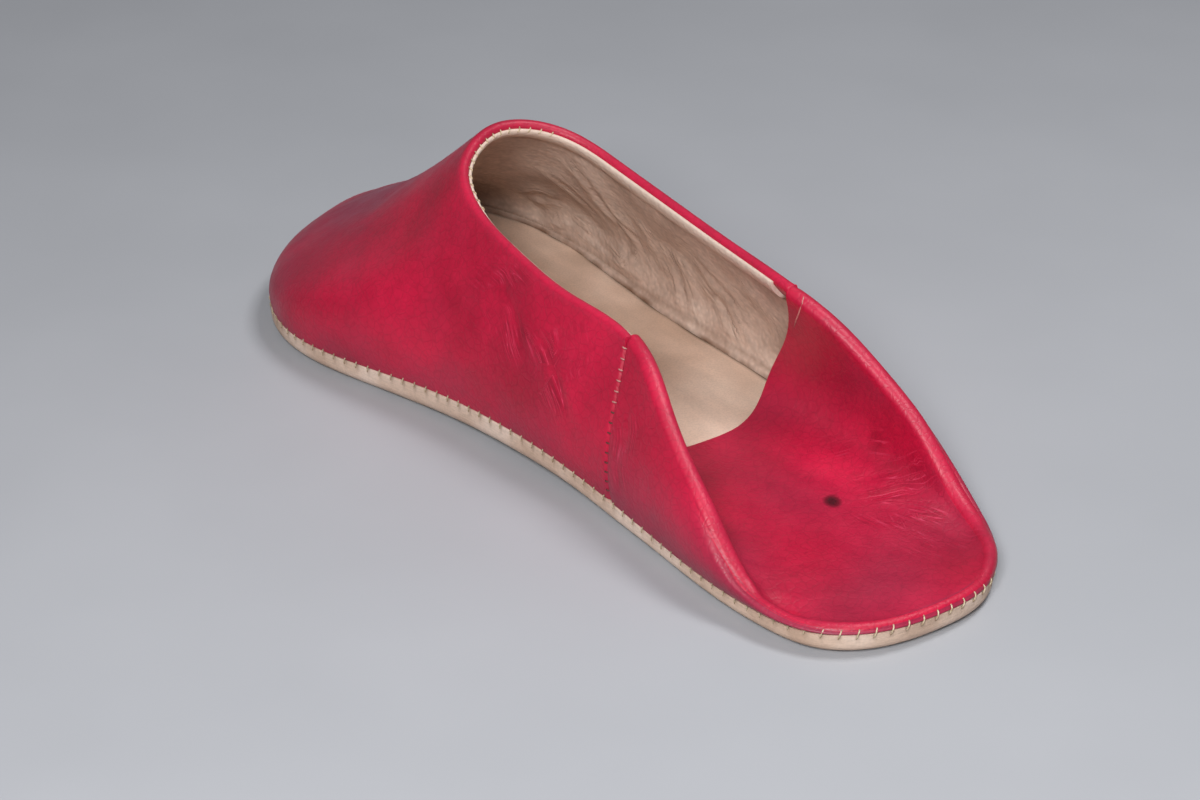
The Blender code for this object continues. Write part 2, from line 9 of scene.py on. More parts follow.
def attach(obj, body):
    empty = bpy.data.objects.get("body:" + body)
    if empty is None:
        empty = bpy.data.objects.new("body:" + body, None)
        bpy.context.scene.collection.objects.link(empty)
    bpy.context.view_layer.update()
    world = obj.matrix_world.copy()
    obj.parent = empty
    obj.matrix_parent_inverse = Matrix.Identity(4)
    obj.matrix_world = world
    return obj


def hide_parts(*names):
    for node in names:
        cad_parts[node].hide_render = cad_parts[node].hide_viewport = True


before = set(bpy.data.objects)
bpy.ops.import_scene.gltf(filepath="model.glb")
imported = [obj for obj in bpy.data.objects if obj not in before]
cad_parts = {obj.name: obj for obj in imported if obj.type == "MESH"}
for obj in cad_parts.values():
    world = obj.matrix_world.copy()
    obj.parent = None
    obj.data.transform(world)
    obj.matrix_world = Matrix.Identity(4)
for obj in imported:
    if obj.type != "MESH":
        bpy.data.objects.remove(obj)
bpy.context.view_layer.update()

# Lengths are in millimetres on the slipper itself and turn to metres when a mesh is made.
# Toe at -Y, heel at +Y, inner side of the foot at +X, floor at Z = 0.
boxShift = np.array([-4.34, 0.0, 0.0])  # the CAD's origin is under the middle of its box
upward = np.array([0.0, 0.0, 1.0])

# The slipper's own sizes, the same as its solids have
slipper = {
    "length": 262.0,
    "ballWidth": 96.5,
    "instepHeight": 64.0,
    "edgeHeight": 7.0,
    "soleThickness": 3.0,
    "insoleThickness": 1.7,
    "toeSpring": 3.0,
    "archRise": 1.4,
    "gap": 0.3,
    "seamAtSole": 0.682,
    "seamAtCollar": 0.663,
}

# station from the toe, medial and lateral half width as shares of the ball width
outlineTable = np.array([
    (0.027, 0.152, 0.263), (0.074, 0.343, 0.364), (0.136, 0.485, 0.434), (0.213, 0.545, 0.455),
    (0.306, 0.505, 0.439), (0.407, 0.422, 0.424), (0.512, 0.374, 0.429), (0.616, 0.343, 0.427),
    (0.725, 0.338, 0.404), (0.833, 0.345, 0.379), (0.911, 0.328, 0.343), (0.961, 0.278, 0.273),
    (0.990, 0.172, 0.172),
])
toeTipSide = -0.055
heelTipSide = -0.010

# station, height of the seam round the sole as a share of the sole's edge
seamRiseTable = np.array([
    (0.00, 0.80), (0.22, 0.80), (0.45, 1.00), (0.66, 0.80), (0.82, 0.62), (0.93, 0.70),
    (1.00, 0.80),
])

# station, half width, centre (shares of the ball width), height (share of the instep)
topLineTable = np.array([
    (0.3155, 0.000, 0.012, 1.000), (0.3250, 0.095, 0.012, 0.985), (0.3540, 0.196, 0.014, 0.925),
    (0.4000, 0.244, 0.016, 0.860), (0.4900, 0.271, 0.012, 0.785), (0.5750, 0.278, 0.000, 0.735),
    (0.6630, 0.272, -0.014, 0.700), (0.6950, 0.290, -0.016, 0.655), (0.7350, 0.322, -0.018, 0.560),
    (0.7800, 0.348, -0.018, 0.445), (0.8300, 0.362, -0.016, 0.315), (0.8800, 0.356, -0.014, 0.165),
    (0.9200, 0.336, -0.010, 0.116), (0.9620, 0.277, -0.004, 0.102), (0.9895, 0.172, -0.004, 0.100),
    (0.9990, 0.000, -0.008, 0.100),
])

# place, rise, bulge, reach, drop, lean of a rib of the upper
ribTable = np.array([
    (0.00, 0.12, 0.008, 0.600, 0.72, 0.000), (0.25, 0.24, 0.026, 0.510, 0.60, 0.000),
    (0.50, 0.38, 0.055, 0.340, 0.40, 0.000), (0.75, 0.40, 0.050, 0.420, 0.34, 0.000),
    (1.00, 0.36, 0.040, 0.550, 0.34, 0.000), (1.40, 0.40, 0.048, 0.600, 0.30, 0.026),
    (1.60, 0.42, 0.026, 0.540, 0.30, 0.018), (1.72, 0.45, 0.010, 0.500, 0.30, 0.006),
    (1.86, 0.45, 0.002, 0.450, 0.32, 0.001), (2.00, 0.45, 0.000, 0.400, 0.35, 0.000),
])

# place past the side seam, turn in degrees, round, sink, floor of the folded quarter
foldTable = np.array([
    (0.00, 198.0, 1.00, 0.72, 1.30), (0.20, 190.0, 1.00, 0.72, 1.24),
    (0.40, 174.0, 1.00, 0.72, 1.14), (0.60, 152.0, 1.00, 0.72, 1.00),
    (0.78, 122.0, 0.88, 0.90, 0.80), (0.90, 97.0, 0.80, 1.10, 0.68),
    (1.00, 91.0, 0.76, 1.20, 0.60),
])


# Shapes


# Cubic from first to last with a tangent at each: t runs from 0 to 1 over a stretch of one step
def hermite(t, step, first, last, tangentFirst, tangentLast):
    return (
        (1 + 2 * t) * (1 - t) ** 2 * first
        + t * (1 - t) ** 2 * step * tangentFirst
        + t**2 * (3 - 2 * t) * last
        + t**2 * (t - 1) * step * tangentLast
    )


# Bezier arc of four points: both ends and a handle for each
def bezier(t, start, low, high, end):
    return (
        (1 - t) ** 3 * start + 3 * t * (1 - t) ** 2 * low + 3 * t**2 * (1 - t) * high + t**3 * end
    )


# Bezier arc of three points: both ends and one handle, which makes a parabola
def parabola(t, start, handle, end):
    return (1 - t) ** 2 * start + 2 * t * (1 - t) * handle + t**2 * end


# Monotone cubic through the table's rows: slopes are harmonic means of the two neighbouring
# ones, and zero where the column turns round, so a value never overshoots a row.
def smoothRead(table, column, at):
    x, y = table[:, 0], table[:, column]
    at = np.clip(np.asarray(at, float), x[0], x[-1])
    step = np.diff(x)
    slope = np.diff(y) / step
    tangent = np.zeros_like(y)
    sameWay = slope[:-1] * slope[1:] > 0
    before = 2 * step[1:] + step[:-1]
    after = step[1:] + 2 * step[:-1]
    product = np.where(sameWay, slope[:-1] * slope[1:], 1.0)
    weighed = before * slope[1:] + after * slope[:-1] + (~sameWay) * 1e9
    tangent[1:-1] = np.where(sameWay, (before + after) * product / weighed, 0.0)
    tangent[0], tangent[-1] = slope[0], slope[-1]
    i = np.clip(np.searchsorted(x, at) - 1, 0, len(x) - 2)
    return hermite((at - x[i]) / step[i], step[i], y[i], y[i + 1], tangent[i], tangent[i + 1])


# Closed cubic spline with chord lengths as its parameter, sampled at even steps of it
def closedCurve(points, count):
    points = np.asarray(points, float)
    n = len(points)
    step = np.linalg.norm(np.roll(points, -1, 0) - points, axis=1)
    last = np.roll(step, 1)
    knot = np.concatenate([[0.0], np.cumsum(step)])
    matrix = np.diag(2 * (step + last)) + np.diag(last[:-1], 1) + np.diag(step[1:], -1)
    matrix[n - 1, 0] += last[n - 1]
    matrix[0, n - 1] += step[0]
    ahead = (np.roll(points, -1, 0) - points) / step[:, None]
    behind = np.roll(ahead, 1, 0)
    tangent = np.linalg.solve(matrix, 3 * (last[:, None] * ahead + step[:, None] * behind))
    at = np.linspace(0, knot[-1], count, endpoint=False)
    i = np.clip(np.searchsorted(knot, at, side="right") - 1, 0, n - 1)
    j = (i + 1) % n
    t = ((at - knot[i]) / step[i])[:, None]
    return hermite(t, step[i][:, None], points[i], points[j], tangent[i], tangent[j])


# A station is a share of the foot's length from the toe; y is in mm from its middle
def alongFoot(station):
    return (np.asarray(station, float) - 0.5) * slipper["length"]


def stationOf(y):
    return np.asarray(y, float) / slipper["length"] + 0.5


# Toe spring grows with the square of the way into the toe; the arch is a bell under the waist
def soleLift(x, y):
    station = stationOf(y)
    toe = slipper["toeSpring"] * np.clip((0.20 - station) / 0.20, 0, 1) ** 2
    waist = np.sin(np.pi * np.clip((station - 0.36) / 0.36, 0, 1)) ** 2
    medial = np.clip(0.5 + x / (0.8 * slipper["ballWidth"]), 0, 1)
    return toe + slipper["archRise"] * waist * medial


# The whole slipper follows the sole's lift, less and less towards one and a half instep heights
def lifted(points):
    fade = np.clip(1 - points[..., 2] / (1.5 * slipper["instepHeight"]), 0, 1)
    return points + (soleLift(points[..., 0], points[..., 1]) * fade)[..., None] * upward


loopPoints = 1440


# The sole's edge, seen from above: a closed curve through both sides of the table and both tips
def makeOutline():
    width = slipper["ballWidth"]
    y = alongFoot(outlineTable[:, 0])
    medial = np.column_stack([outlineTable[:, 1] * width, y])
    lateral = np.column_stack([-outlineTable[:, 2] * width, y])
    toe = [[toeTipSide * width, alongFoot(0)]]
    heel = [[heelTipSide * width, alongFoot(1)]]
    return closedCurve(np.concatenate([toe, medial, heel, lateral[::-1]]), loopPoints)


# The upper's top line: a closed curve in space, its centre plus and minus its half width
def makeTopLine():
    width = slipper["ballWidth"]
    sides = []
    for side in (1, -1):
        x = (topLineTable[:, 2] + side * topLineTable[:, 1]) * width
        z = topLineTable[:, 3] * slipper["instepHeight"]
        sides.append(np.column_stack([x, alongFoot(topLineTable[:, 0]), z]))
    return closedCurve(np.concatenate([sides[0], sides[1][::-1][1:-1]]), loopPoints)


# Vectors divided by their own lengths
def unit(vectors):
    return vectors / np.linalg.norm(vectors, axis=-1, keepdims=True)


# The tangent turned right by 90 degrees, which is outwards on a loop that runs this way round
def outwardOf(loop):
    tangent = np.roll(loop[:, :2], -1, 0) - np.roll(loop[:, :2], 1, 0)
    return unit(np.stack([tangent[:, 1], -tangent[:, 0]], -1))


# Length run along a line up to each of its points
def runOf(points):
    return np.concatenate([[0], np.cumsum(np.linalg.norm(np.diff(points, axis=0), axis=1))])


# Values carried by a loop's points, read at places: 0 toe, 1 inner seam, 2 heel, 3 outer seam
def readAt(loop, seamStation, values, places):
    run = runOf(np.vstack([loop, loop[:1]]))
    heel = int(np.argmax(loop[:, 1]))
    seamY = alongFoot(seamStation)
    medial = int(np.argmin(np.abs(loop[:heel, 1] - seamY)))
    lateral = heel + int(np.argmin(np.abs(loop[heel:, 1] - seamY)))
    known = np.interp(run, run[[0, medial, heel, lateral, len(loop)]], [0, 1, 2, 3, 4])
    values = np.vstack([values, values[:1]])
    return np.stack([np.interp(np.asarray(places) % 4, known, column) for column in values.T], -1)


outline = makeOutline()
topLine = makeTopLine()
outlineOut = outwardOf(outline)
topOut = outwardOf(topLine)


# Directions seen from above, made level ones in space
def flatVectors(pairs):
    return np.column_stack([pairs, np.zeros(len(pairs))])


# Points seen from above, put at a height that may differ from point to point
def atHeight(foot, height):
    return np.column_stack([foot, height * np.ones(len(foot))])


# The sole's edge at places, without a height, and its outward direction, level with the floor
def atSole(places):
    foot = readAt(outline, slipper["seamAtSole"], outline, places)
    out = unit(readAt(outline, slipper["seamAtSole"], outlineOut, places))
    return foot, flatVectors(out)


# The seam round the sole is at the table's share of the height of the sole's edge
def seamHeight(y):
    return smoothRead(seamRiseTable, 1, stationOf(y)) * slipper["edgeHeight"]


# Each rib is one Bezier arc from the sole's seam to the top line: its first handle goes up and
# out by rise and bulge, its last one back down along the rib by reach and drop, out by lean.
def ribGrid(places, rows):
    places = np.asarray(places, float)
    foot, out = atSole(places)
    top = readAt(topLine, slipper["seamAtCollar"], topLine, places)
    start = atHeight(foot, seamHeight(foot[:, 1]) + slipper["gap"])
    folded = np.minimum(places % 4, 4 - places % 4)
    rise, bulge, reach, drop, lean = (smoothRead(ribTable, c, folded)[:, None] for c in range(1, 6))
    height = (top[:, 2] - start[:, 2])[:, None]
    run = (start - top) * np.array([1.0, 1.0, 0.0])
    low = start + upward * rise * height + out * bulge * slipper["ballWidth"]
    high = top + run * reach - upward * drop * height + out * lean * slipper["ballWidth"]
    t = np.asarray(rows, float)[None, :, None]
    return bezier(t, *(p[:, None, :] for p in (start, low, high, top)))


# Normals of a grid of ribs from the cross product of its two directions. They are turned round
# if they look down where the middle rib meets the top line.
def outwardNormals(grid):
    normal = unit(np.cross(np.gradient(grid, axis=0), np.gradient(grid, axis=1)))
    return -normal if normal[len(grid) // 2, -1, 2] < 0 else normal


# The nearest spot of a line to each point: how far off it is, how far along the line it is as a
# share of its length, the way from it to the point, and the line's heading there
def nearestOn(flat, path):
    path = np.asarray(path, float)
    run = runOf(path)
    nearest, along = np.full(len(flat), 1e9), np.zeros(len(flat))
    gap, heading = np.zeros_like(flat), np.zeros_like(flat)
    for k, ahead in enumerate(np.diff(path, axis=0)):
        length = np.linalg.norm(ahead)
        t = np.clip((flat - path[k]) @ ahead / length**2, 0, 1)
        off = flat - (path[k] + t[:, None] * ahead)
        far = np.linalg.norm(off, axis=1)
        closer = far < nearest
        nearest[closer] = far[closer]
        along[closer] = ((run[k] + t * length) / run[-1])[closer]
        gap[closer], heading[closer] = off[closer], ahead
    return nearest, along, gap, heading


# How strong a line still is along its length: full in its middle, down to least at both ends
def endFade(along, least):
    return np.clip(np.minimum(along, 1 - along) * 5, least, 1)


# A bell of the given width round a line through points, fading out at both of its ends
def bellRound(points, path, width):
    nearest, along, gap, heading = nearestOn(points.reshape(-1, 3), path)
    bell = np.exp(-((nearest / width) ** 2)) * endFade(along, 0.15)
    return bell.reshape(points.shape[:-1])


farAway = 99.0  # the mark beside of a point that no crease is near


# How far each point is from the nearest of some lines, in mm, with a sign for its side of the
# line, and how much of that line acts there: a bell across it that fades at its ends
def besideLines(points, normals, paths, spread):
    flat, out = points.reshape(-1, 3), normals.reshape(-1, 3)
    nearest = np.full(len(flat), 1e9)
    signed, share = np.full(len(flat), farAway), np.zeros(len(flat))
    for path in paths:
        far, along, gap, heading = nearestOn(flat, path)
        side = np.where((np.cross(heading, gap) * out).sum(1) < 0, -1.0, 1.0)
        closer = far < nearest
        nearest = np.where(closer, far, nearest)
        signed = np.where(closer, far * side, signed)
        share = np.where(closer, np.exp(-((far / spread) ** 2)) * endFade(along, 0.1), share)
    return signed.reshape(points.shape[:-1]), share.reshape(points.shape[:-1])


# Slow unevenness of hand stretched leather: a few crossed sine waves, height about one
def waviness(points, size, seed):
    rng = np.random.default_rng(seed)
    total = np.zeros(points.shape[:-1])
    for k in range(5):
        heading = unit(rng.normal(size=3))
        length = size * rng.uniform(0.7, 1.5)
        total += np.sin(points @ heading * (2 * np.pi / length) + rng.uniform(0, 6.3))
    return total / 3


# Directions round a roll: along first at turn 0 and along second after a quarter turn
def spokes(first, second, turn):
    return first[:, None] * np.cos(turn)[:, None] + second[:, None] * np.sin(turn)[:, None]


# Meshes


def addObject(name, data):
    added = bpy.data.objects.new(name, data)
    bpy.context.scene.collection.objects.link(added)
    return added


# Takes mm on the slipper to metres in the CAD's frame. Marks are one number for each point, and
# an edge stays sharp where its faces turn by more than 55 degrees.
def makePiece(name, vertices, faces, marks, uv=None):
    mesh = bpy.data.meshes.new(name)
    mesh.from_pydata(((vertices + boxShift) * 0.001).tolist(), [], faces)
    for mark, values in marks.items():
        layer = mesh.attributes.new(mark, "FLOAT", "POINT")
        layer.data.foreach_set("value", np.ascontiguousarray(values, dtype=np.float32).ravel())
    if uv is not None:
        corner = np.empty(len(mesh.loops), dtype=np.int32)
        mesh.loops.foreach_get("vertex_index", corner)
        layer = mesh.uv_layers.new(name="UVMap")
        layer.data.foreach_set("uv", np.ascontiguousarray(uv[corner], dtype=np.float32).ravel())
    mesh.shade_smooth()
    mesh.set_sharp_from_angle(angle=math.radians(55))
    mesh.update()
    return addObject(name, mesh)


# Point numbers of a grid, row by row
def numbered(across, down, first=0):
    return first + np.arange(across * down).reshape(across, down)


# Quads between neighbours in a grid of point numbers, and from its last column back to its
# first one if it is closed
def quadsOf(number, closed=False):
    if closed:
        number = np.concatenate([number, number[:, :1]], 1)
    corners = [number[:-1, :-1], number[1:, :-1], number[1:, 1:], number[:-1, 1:]]
    return np.stack(corners, -1).reshape(-1, 4)


# Turns all faces round if the closed mesh they make has a negative volume
def facedOut(vertices, faces):
    a, b, c, d = (vertices[faces[:, k]] for k in range(4))
    volume = (np.cross(a, b) * c).sum() + (np.cross(a, c) * d).sum()
    return faces if volume > 0 else faces[:, ::-1]


# A closed sheet between a front grid and a back grid of the same shape
def closedSheet(front, back):
    number = numbered(*front.shape[:2])
    vertices = np.concatenate([front.reshape(-1, 3), back.reshape(-1, 3)])
    quads = quadsOf(number)
    rim = np.concatenate([number[:, 0], number[-1, 1:], number[-2::-1, -1], number[0, -2:0:-1]])
    after = np.roll(rim, -1)
    sides = np.stack([after, rim, rim + number.size, after + number.size], -1)
    faces = np.concatenate([quads, quads[:, ::-1] + number.size, sides[:, ::-1]])
    return vertices, facedOut(vertices, faces)


threadSides = 6


# Round threads along many short paths at once: circles of points across each path, drawn in
# at both ends. paths is (how many, points, 3) and sideways gives each path a direction across.
# The last result is for the points of any one thread: 1 at its two ends and 0 in its middle.
def threads(paths, radius, sideways):
    count, steps = paths.shape[:2]
    heading = unit(np.gradient(paths, axis=1))
    first = unit(np.cross(heading, sideways[:, None, :]))[:, :, None, :]
    second = np.cross(heading[:, :, None, :], first)
    taper = np.full(steps, radius)
    taper[0] = taper[-1] = radius * 0.35
    angle = (np.arange(threadSides) * 2 * np.pi / threadSides)[:, None]
    ring = np.cos(angle) * first + np.sin(angle) * second
    points = paths[:, :, None, :] + ring * taper[None, :, None, None]
    number = np.arange(count * steps * threadSides).reshape(count, steps, threadSides)
    tube = quadsOf(number[0], closed=True)
    faces = (tube[None] + number[:, :1, :1]).reshape(-1, 4)
    caps = np.stack([number[:, 0], number[:, -1, ::-1]], 1).reshape(-1, threadSides)
    share = np.repeat(np.linspace(0, 1, steps), threadSides)
    return points.reshape(-1, 3), faces.tolist() + caps.tolist(), np.abs(2 * share - 1) ** 3


# Materials


# sRGB hex to linear red, green, blue and alpha
def toLinear(value):
    parts = [int(value[k : k + 2], 16) / 255 for k in (1, 3, 5)]
    return [p / 12.92 if p <= 0.04045 else ((p + 0.055) / 1.055) ** 2.4 for p in parts] + [1.0]


# Adds a node and gives back one of its outputs. A socket takes another node's output, a number
# or a hex colour. Stops are those of a ramp, each a place with a grey or a hex colour.
def addNode(tree, kind, out, sockets, stops=(), **settings):
    node = tree.nodes.new("ShaderNode" + kind)
    for name, value in settings.items():
        setattr(node, name, value)
    for socket, value in sockets.items():
        if isinstance(value, bpy.types.NodeSocket):
            tree.links.new(value, node.inputs[socket])
        else:
            node.inputs[socket].default_value = toLinear(value) if isinstance(value, str) else value
    for extra in stops[2:]:
        node.color_ramp.elements.new(0.5)
    for k, (place, colour) in enumerate(stops):
        element = node.color_ramp.elements[k]
        element.position = place
        element.color = toLinear(colour) if isinstance(colour, str) else (colour, colour, colour, 1)
    return node.outputs[out]


# A material with its shader's own values, what adds its nodes, and the place on the slipper
def newMaterial(name, values):
    material = bpy.data.materials.new(name)
    material.use_nodes = True
    for socket, value in values.items():
        material.node_tree.nodes["Principled BSDF"].inputs[socket].default_value = value
    add = partial(addNode, material.node_tree)
    return material, add, add("TexCoord", "Object", {})


# Leads node outputs into the material's shader
def wired(material, sources):
    tree = material.node_tree
    for socket, source in sources.items():
        tree.links.new(source, tree.nodes["Principled BSDF"].inputs[socket])
    return material


# A mark that the mesh carries, times a factor
def marked(add, name, factor=1.0):
    mark = add("Attribute", "Fac", {}, attribute_name=name)
    return add("Math", 0, {0: mark, 1: factor}, operation="MULTIPLY")


# Multiplies a colour by patterns: each has a share, a source and the ramp that it is read with
def shaded(add, colour, patterns):
    for share, source, stops in patterns:
        sockets = {0: share, 6: colour, 7: add("ValToRGB", "Color", {"Fac": source}, stops)}
        colour = add("Mix", 2, sockets, data_type="RGBA", blend_type="MULTIPLY")
    return colour


# Lays other colours over a colour, each by its share
def overlaid(add, colour, layers):
    for share, layer in layers:
        colour = add("Mix", 2, {0: share, 6: colour, 7: layer}, data_type="RGBA")
    return colour


# Relief of patterns laid over each other: each one's source, strength, and depth in metres
def reliefOf(add, patterns):
    below = {}
    for height, strength, depth in patterns:
        sockets = {"Height": height, "Strength": strength, "Distance": depth, **below}
        below = {"Normal": add("Bump", "Normal", sockets)}
    return below["Normal"]


# Fine wrinkles beside a main crease: thin valleys a millimetre or two apart that run along it,
# so the eye sees leather that has been folded there many times. A noise is read at the distance
# to the crease and, drawn out long, at the place on the slipper; a valley is where it is a half.
# Their share is the mark, broken up by a second noise, so that they come and go.
def wrinkles(add, place, spacing, length):
    apart = add("SeparateXYZ", 0, {"Vector": place}).node.outputs
    drawn = {"X": marked(add, "beside", 1 / spacing)}
    for axis in ("Y", "Z"):
        drawn[axis] = add("Math", 0, {0: apart[axis], 1: 1000 / length}, operation="MULTIPLY")
    drawn = add("CombineXYZ", "Vector", drawn)
    noise = add("TexNoise", "Fac", {"Vector": drawn, "Scale": 1.0, "Detail": 1.2})
    steps = (("SUBTRACT", 0.5), ("ABSOLUTE", 0.0), ("MULTIPLY", 11.0), ("POWER", 0.6))
    for operation, value in steps:
        last = operation == "POWER"
        noise = add("Math", 0, {0: noise, 1: value}, operation=operation, use_clamp=last)
    broken = add("TexNoise", "Fac", {"Vector": place, "Scale": 1000 / 9.0, "Detail": 3.0})
    comeAndGo = add("ValToRGB", "Color", {"Fac": broken}, [(0.42, 0.0), (0.60, 1.0)])
    mark = add("Attribute", "Fac", {}, attribute_name="wrinkle")
    share = add("Math", 0, {0: comeAndGo, 1: mark}, operation="MULTIPLY")
    worn = add("Math", 0, {0: noise, 1: share}, operation="MULTIPLY")
    return noise, share, worn


# A dark wax spot on the folded quarter, in mm
spotForm = {
    "at": (-11.2, 79.2, 7.0), "share": 0.92,
    "ways": [((0.42, 0.91, 0.0), 3.3), ((0.91, -0.42, 0.0), 2.4)],  # its long and its wide way
}


# How dark the spot is: by a point's distance from its middle, with each way counted in its own
# size, and a noise added that makes its rim uneven
def spotShare(add, place, noise):
    at = (np.array(spotForm["at"]) + boxShift) * 0.001
    gap = add("VectorMath", 0, {0: place, 1: at.tolist()}, operation="SUBTRACT")
    parts = {}
    for axis, (heading, size) in zip("XY", spotForm["ways"]):
        scaled = [h * 1000 / size for h in heading]
        parts[axis] = add("VectorMath", "Value", {0: gap, 1: scaled}, operation="DOT_PRODUCT")
    both = add("CombineXYZ", "Vector", parts)
    far = add("VectorMath", "Value", {0: both}, operation="LENGTH")
    rough = add("Math", 0, {0: noise, 1: 0.8}, operation="MULTIPLY")
    uneven = add("Math", 0, {0: far, 1: rough}, operation="ADD")
    half = add("Math", 0, {0: uneven, 1: 0.5}, operation="MULTIPLY")
    dark = spotForm["share"]
    return add("ValToRGB", "Color", {"Fac": half}, [(0.38, dark), (0.54, dark * 0.75), (0.72, 0.0)])


# Goat leather, dyed crimson through its face and waxed: fine pebbled grain about 1 mm across,
# cloudy dye, a painted pink highlight along the fold crests and the collar's roll, and a
# painted dull violet sheen with painted shade over the toe and low down
def makeRedLeather():
    look = {
        # among these are a pale pink painted highlight and a dull violet painted sheen and shade
        "deep": "#AA0A30", "face": "#BE0D38", "bright": "#D0113F", "paintedHighlight": "#E04A6E",
        "ridge": "#E8557A", "valley": "#8C0828", "sheenAndShade": "#7A2E48", "spot": "#2E0610",
        "crest": (0.43, 0.43, 0.43, 1.0),
        "cloud": 26.0, "patch": 7.0, "grain": 1.0, "pore": 0.45, "crack": 2.4, "bend": 0.0035,
    }
    material, add, place = newMaterial("dyedGoatLeather", {
        "Roughness": 0.45, "IOR": 1.46, "Sheen Weight": 0.03, "Sheen Roughness": 0.35,
        "Sheen Tint": toLinear("#C9A6C4"),
    })
    cloud = add("TexNoise", "Fac", {"Vector": place, "Scale": 1000 / look["cloud"], "Detail": 5.0})
    patch = add("TexNoise", "Fac", {"Vector": place, "Scale": 1000 / look["patch"], "Detail": 5.0})
    pores = add("TexNoise", "Fac", {"Vector": place, "Scale": 1000 / look["pore"], "Detail": 3.0})
    pebble = {"Vector": place, "Scale": 1000 / look["grain"]}
    pebble = add("TexVoronoi", "Distance", pebble, feature="SMOOTH_F1")
    # the crack cells are bent by the patches, so that they don't look drawn
    bent = {0: patch.node.outputs["Color"], 1: [look["bend"]] * 3, 2: place}
    bent = add("VectorMath", 0, bent, operation="MULTIPLY_ADD")
    cracks = {"Vector": bent, "Scale": 1000 / look["crack"]}
    cracks = add("TexVoronoi", "Distance", cracks, feature="DISTANCE_TO_EDGE")
    valleys, share, worn = wrinkles(add, place, 1.2, 24)
    dye = [(0.32, look["deep"]), (0.50, look["face"]), (0.70, look["bright"])]
    colour = shaded(add, add("ValToRGB", "Color", {"Fac": cloud}, dye), [
        (0.6, patch, [(0.30, 0.86), (0.55, 1.0), (0.75, 1.07)]),
        (0.6, pebble, [(0.0, 1.04), (0.5, 1.0), (0.95, 0.72)]),
        (0.45, cracks, [(0.0, 0.70), (0.10, 1.0)]),
    ])
    lines = [(0.10, look["ridge"]), (0.38, look["face"]), (1.0, look["valley"])]
    lines = add("ValToRGB", "Color", {"Fac": valleys}, lines)
    colour = overlaid(add, colour, [
        # painted violet-grey sheen low down and over the toe, painted shade on the toe's inner side
        (marked(add, "sheenAndShade", 0.72), look["sheenAndShade"]),
        (add("Math", 0, {0: share, 1: 0.75}, operation="MULTIPLY"), lines),
        # painted pink highlight along the fold crests and over the collar's roll
        (marked(add, "wearAndPaintedHighlight", 0.16), look["paintedHighlight"]),
        (spotShare(add, place, patch), look["spot"]),
    ])
    gloss = add("ValToRGB", "Color", {"Fac": patch}, [(0.3, 0.40), (0.7, 0.54)])
    edges = add("ValToRGB", "Color", {"Fac": cracks}, [(0.0, 0.0), (0.12, 1.0)])
    return wired(material, {
        "Base Color": colour,
        "Roughness": overlaid(add, gloss, [(marked(add, "wearAndPaintedHighlight", 0.8), look["crest"])]),
        "Normal": reliefOf(add, [
            (pebble, 0.38, 0.00018), (pores, 0.25, 0.00010), (edges, 0.30, 0.00010),
            (patch, 0.30, 0.00035), (worn, 0.35, 0.00016),
        ]),
    })


# Vegetable tanned cattle leather, cut and skived by hand: matt, cream to tan, its fibres drawn
# out along the cut edge, grubby near the floor
def makeSoleLeather():
    look = {
        "pale": "#E3CBBA", "face": "#D3B7A3", "dull": "#BC9E89", "dirtAndShade": "#75604E",
        "cloud": 18.0, "speck": 0.6,
    }
    material, add, place = newMaterial("vegetableTannedSole", {"Roughness": 0.72, "IOR": 1.45})
    cloud = add("TexNoise", "Fac", {"Vector": place, "Scale": 1000 / look["cloud"], "Detail": 5.0})
    speck = add("TexNoise", "Fac", {"Vector": place, "Scale": 1000 / look["speck"], "Detail": 3.0})
    # the UV map runs in mm along the edge and up it
    drawn = {"Vector": add("UVMap", "UV", {}), "Scale": (0.35, 3.0, 1.0)}
    drawn = add("Mapping", "Vector", drawn)
    fibre = add("TexNoise", "Fac", {"Vector": drawn, "Scale": 0.9, "Detail": 4.0})
    tan = [(0.32, look["dull"]), (0.5, look["face"]), (0.66, look["pale"])]
    colour = shaded(add, add("ValToRGB", "Color", {"Fac": cloud}, tan), [
        (0.6, fibre, [(0.3, 0.82), (0.6, 1.05)]), (0.5, speck, [(0.35, 0.86), (0.6, 1.03)]),
    ])
    return wired(material, {
        "Base Color": overlaid(add, colour, [(marked(add, "dirtAndShade"), look["dirtAndShade"])]),
        "Normal": reliefOf(add, [(fibre, 0.4, 0.0003), (speck, 0.3, 0.00012)]),
    })


# Undyed sheep leather worn to a nap, as the sock: mottled straw colour, long faint rub marks
# the length of the foot, dusty dirt in its edges
def makeSockLeather():
    look = {
        "pale": "#F2D9C5", "face": "#E8CCB7", "dull": "#D6B9A3", "dirtAndShade": "#5E4636",
        "cloud": 30.0, "wearAndPaintedHighlight": 6.0, "nap": 0.5,
    }
    material, add, place = newMaterial("undyedSheepSock", {"Roughness": 0.82, "IOR": 1.42})
    cloud = add("TexNoise", "Fac", {"Vector": place, "Scale": 1000 / look["cloud"], "Detail": 6.0})
    drawn = add("Mapping", "Vector", {"Vector": place, "Scale": (1.0, 0.22, 1.0)})
    rubs = add("TexNoise", "Fac", {"Vector": drawn, "Scale": 1000 / look["wearAndPaintedHighlight"], "Detail": 4.0})
    nap = add("TexNoise", "Fac", {"Vector": place, "Scale": 1000 / look["nap"], "Detail": 3.0})
    straw = [(0.34, look["dull"]), (0.5, look["face"]), (0.64, look["pale"])]
    colour = shaded(add, add("ValToRGB", "Color", {"Fac": cloud}, straw), [
        (0.5, rubs, [(0.35, 0.86), (0.62, 1.06)]), (0.5, nap, [(0.35, 0.84), (0.6, 1.05)]),
    ])
    return wired(material, {
        "Base Color": overlaid(add, colour, [(marked(add, "dirtAndShade"), look["dirtAndShade"])]),
        "Normal": reliefOf(add, [(rubs, 0.25, 0.0004), (nap, 0.3, 0.00012)]),
    })


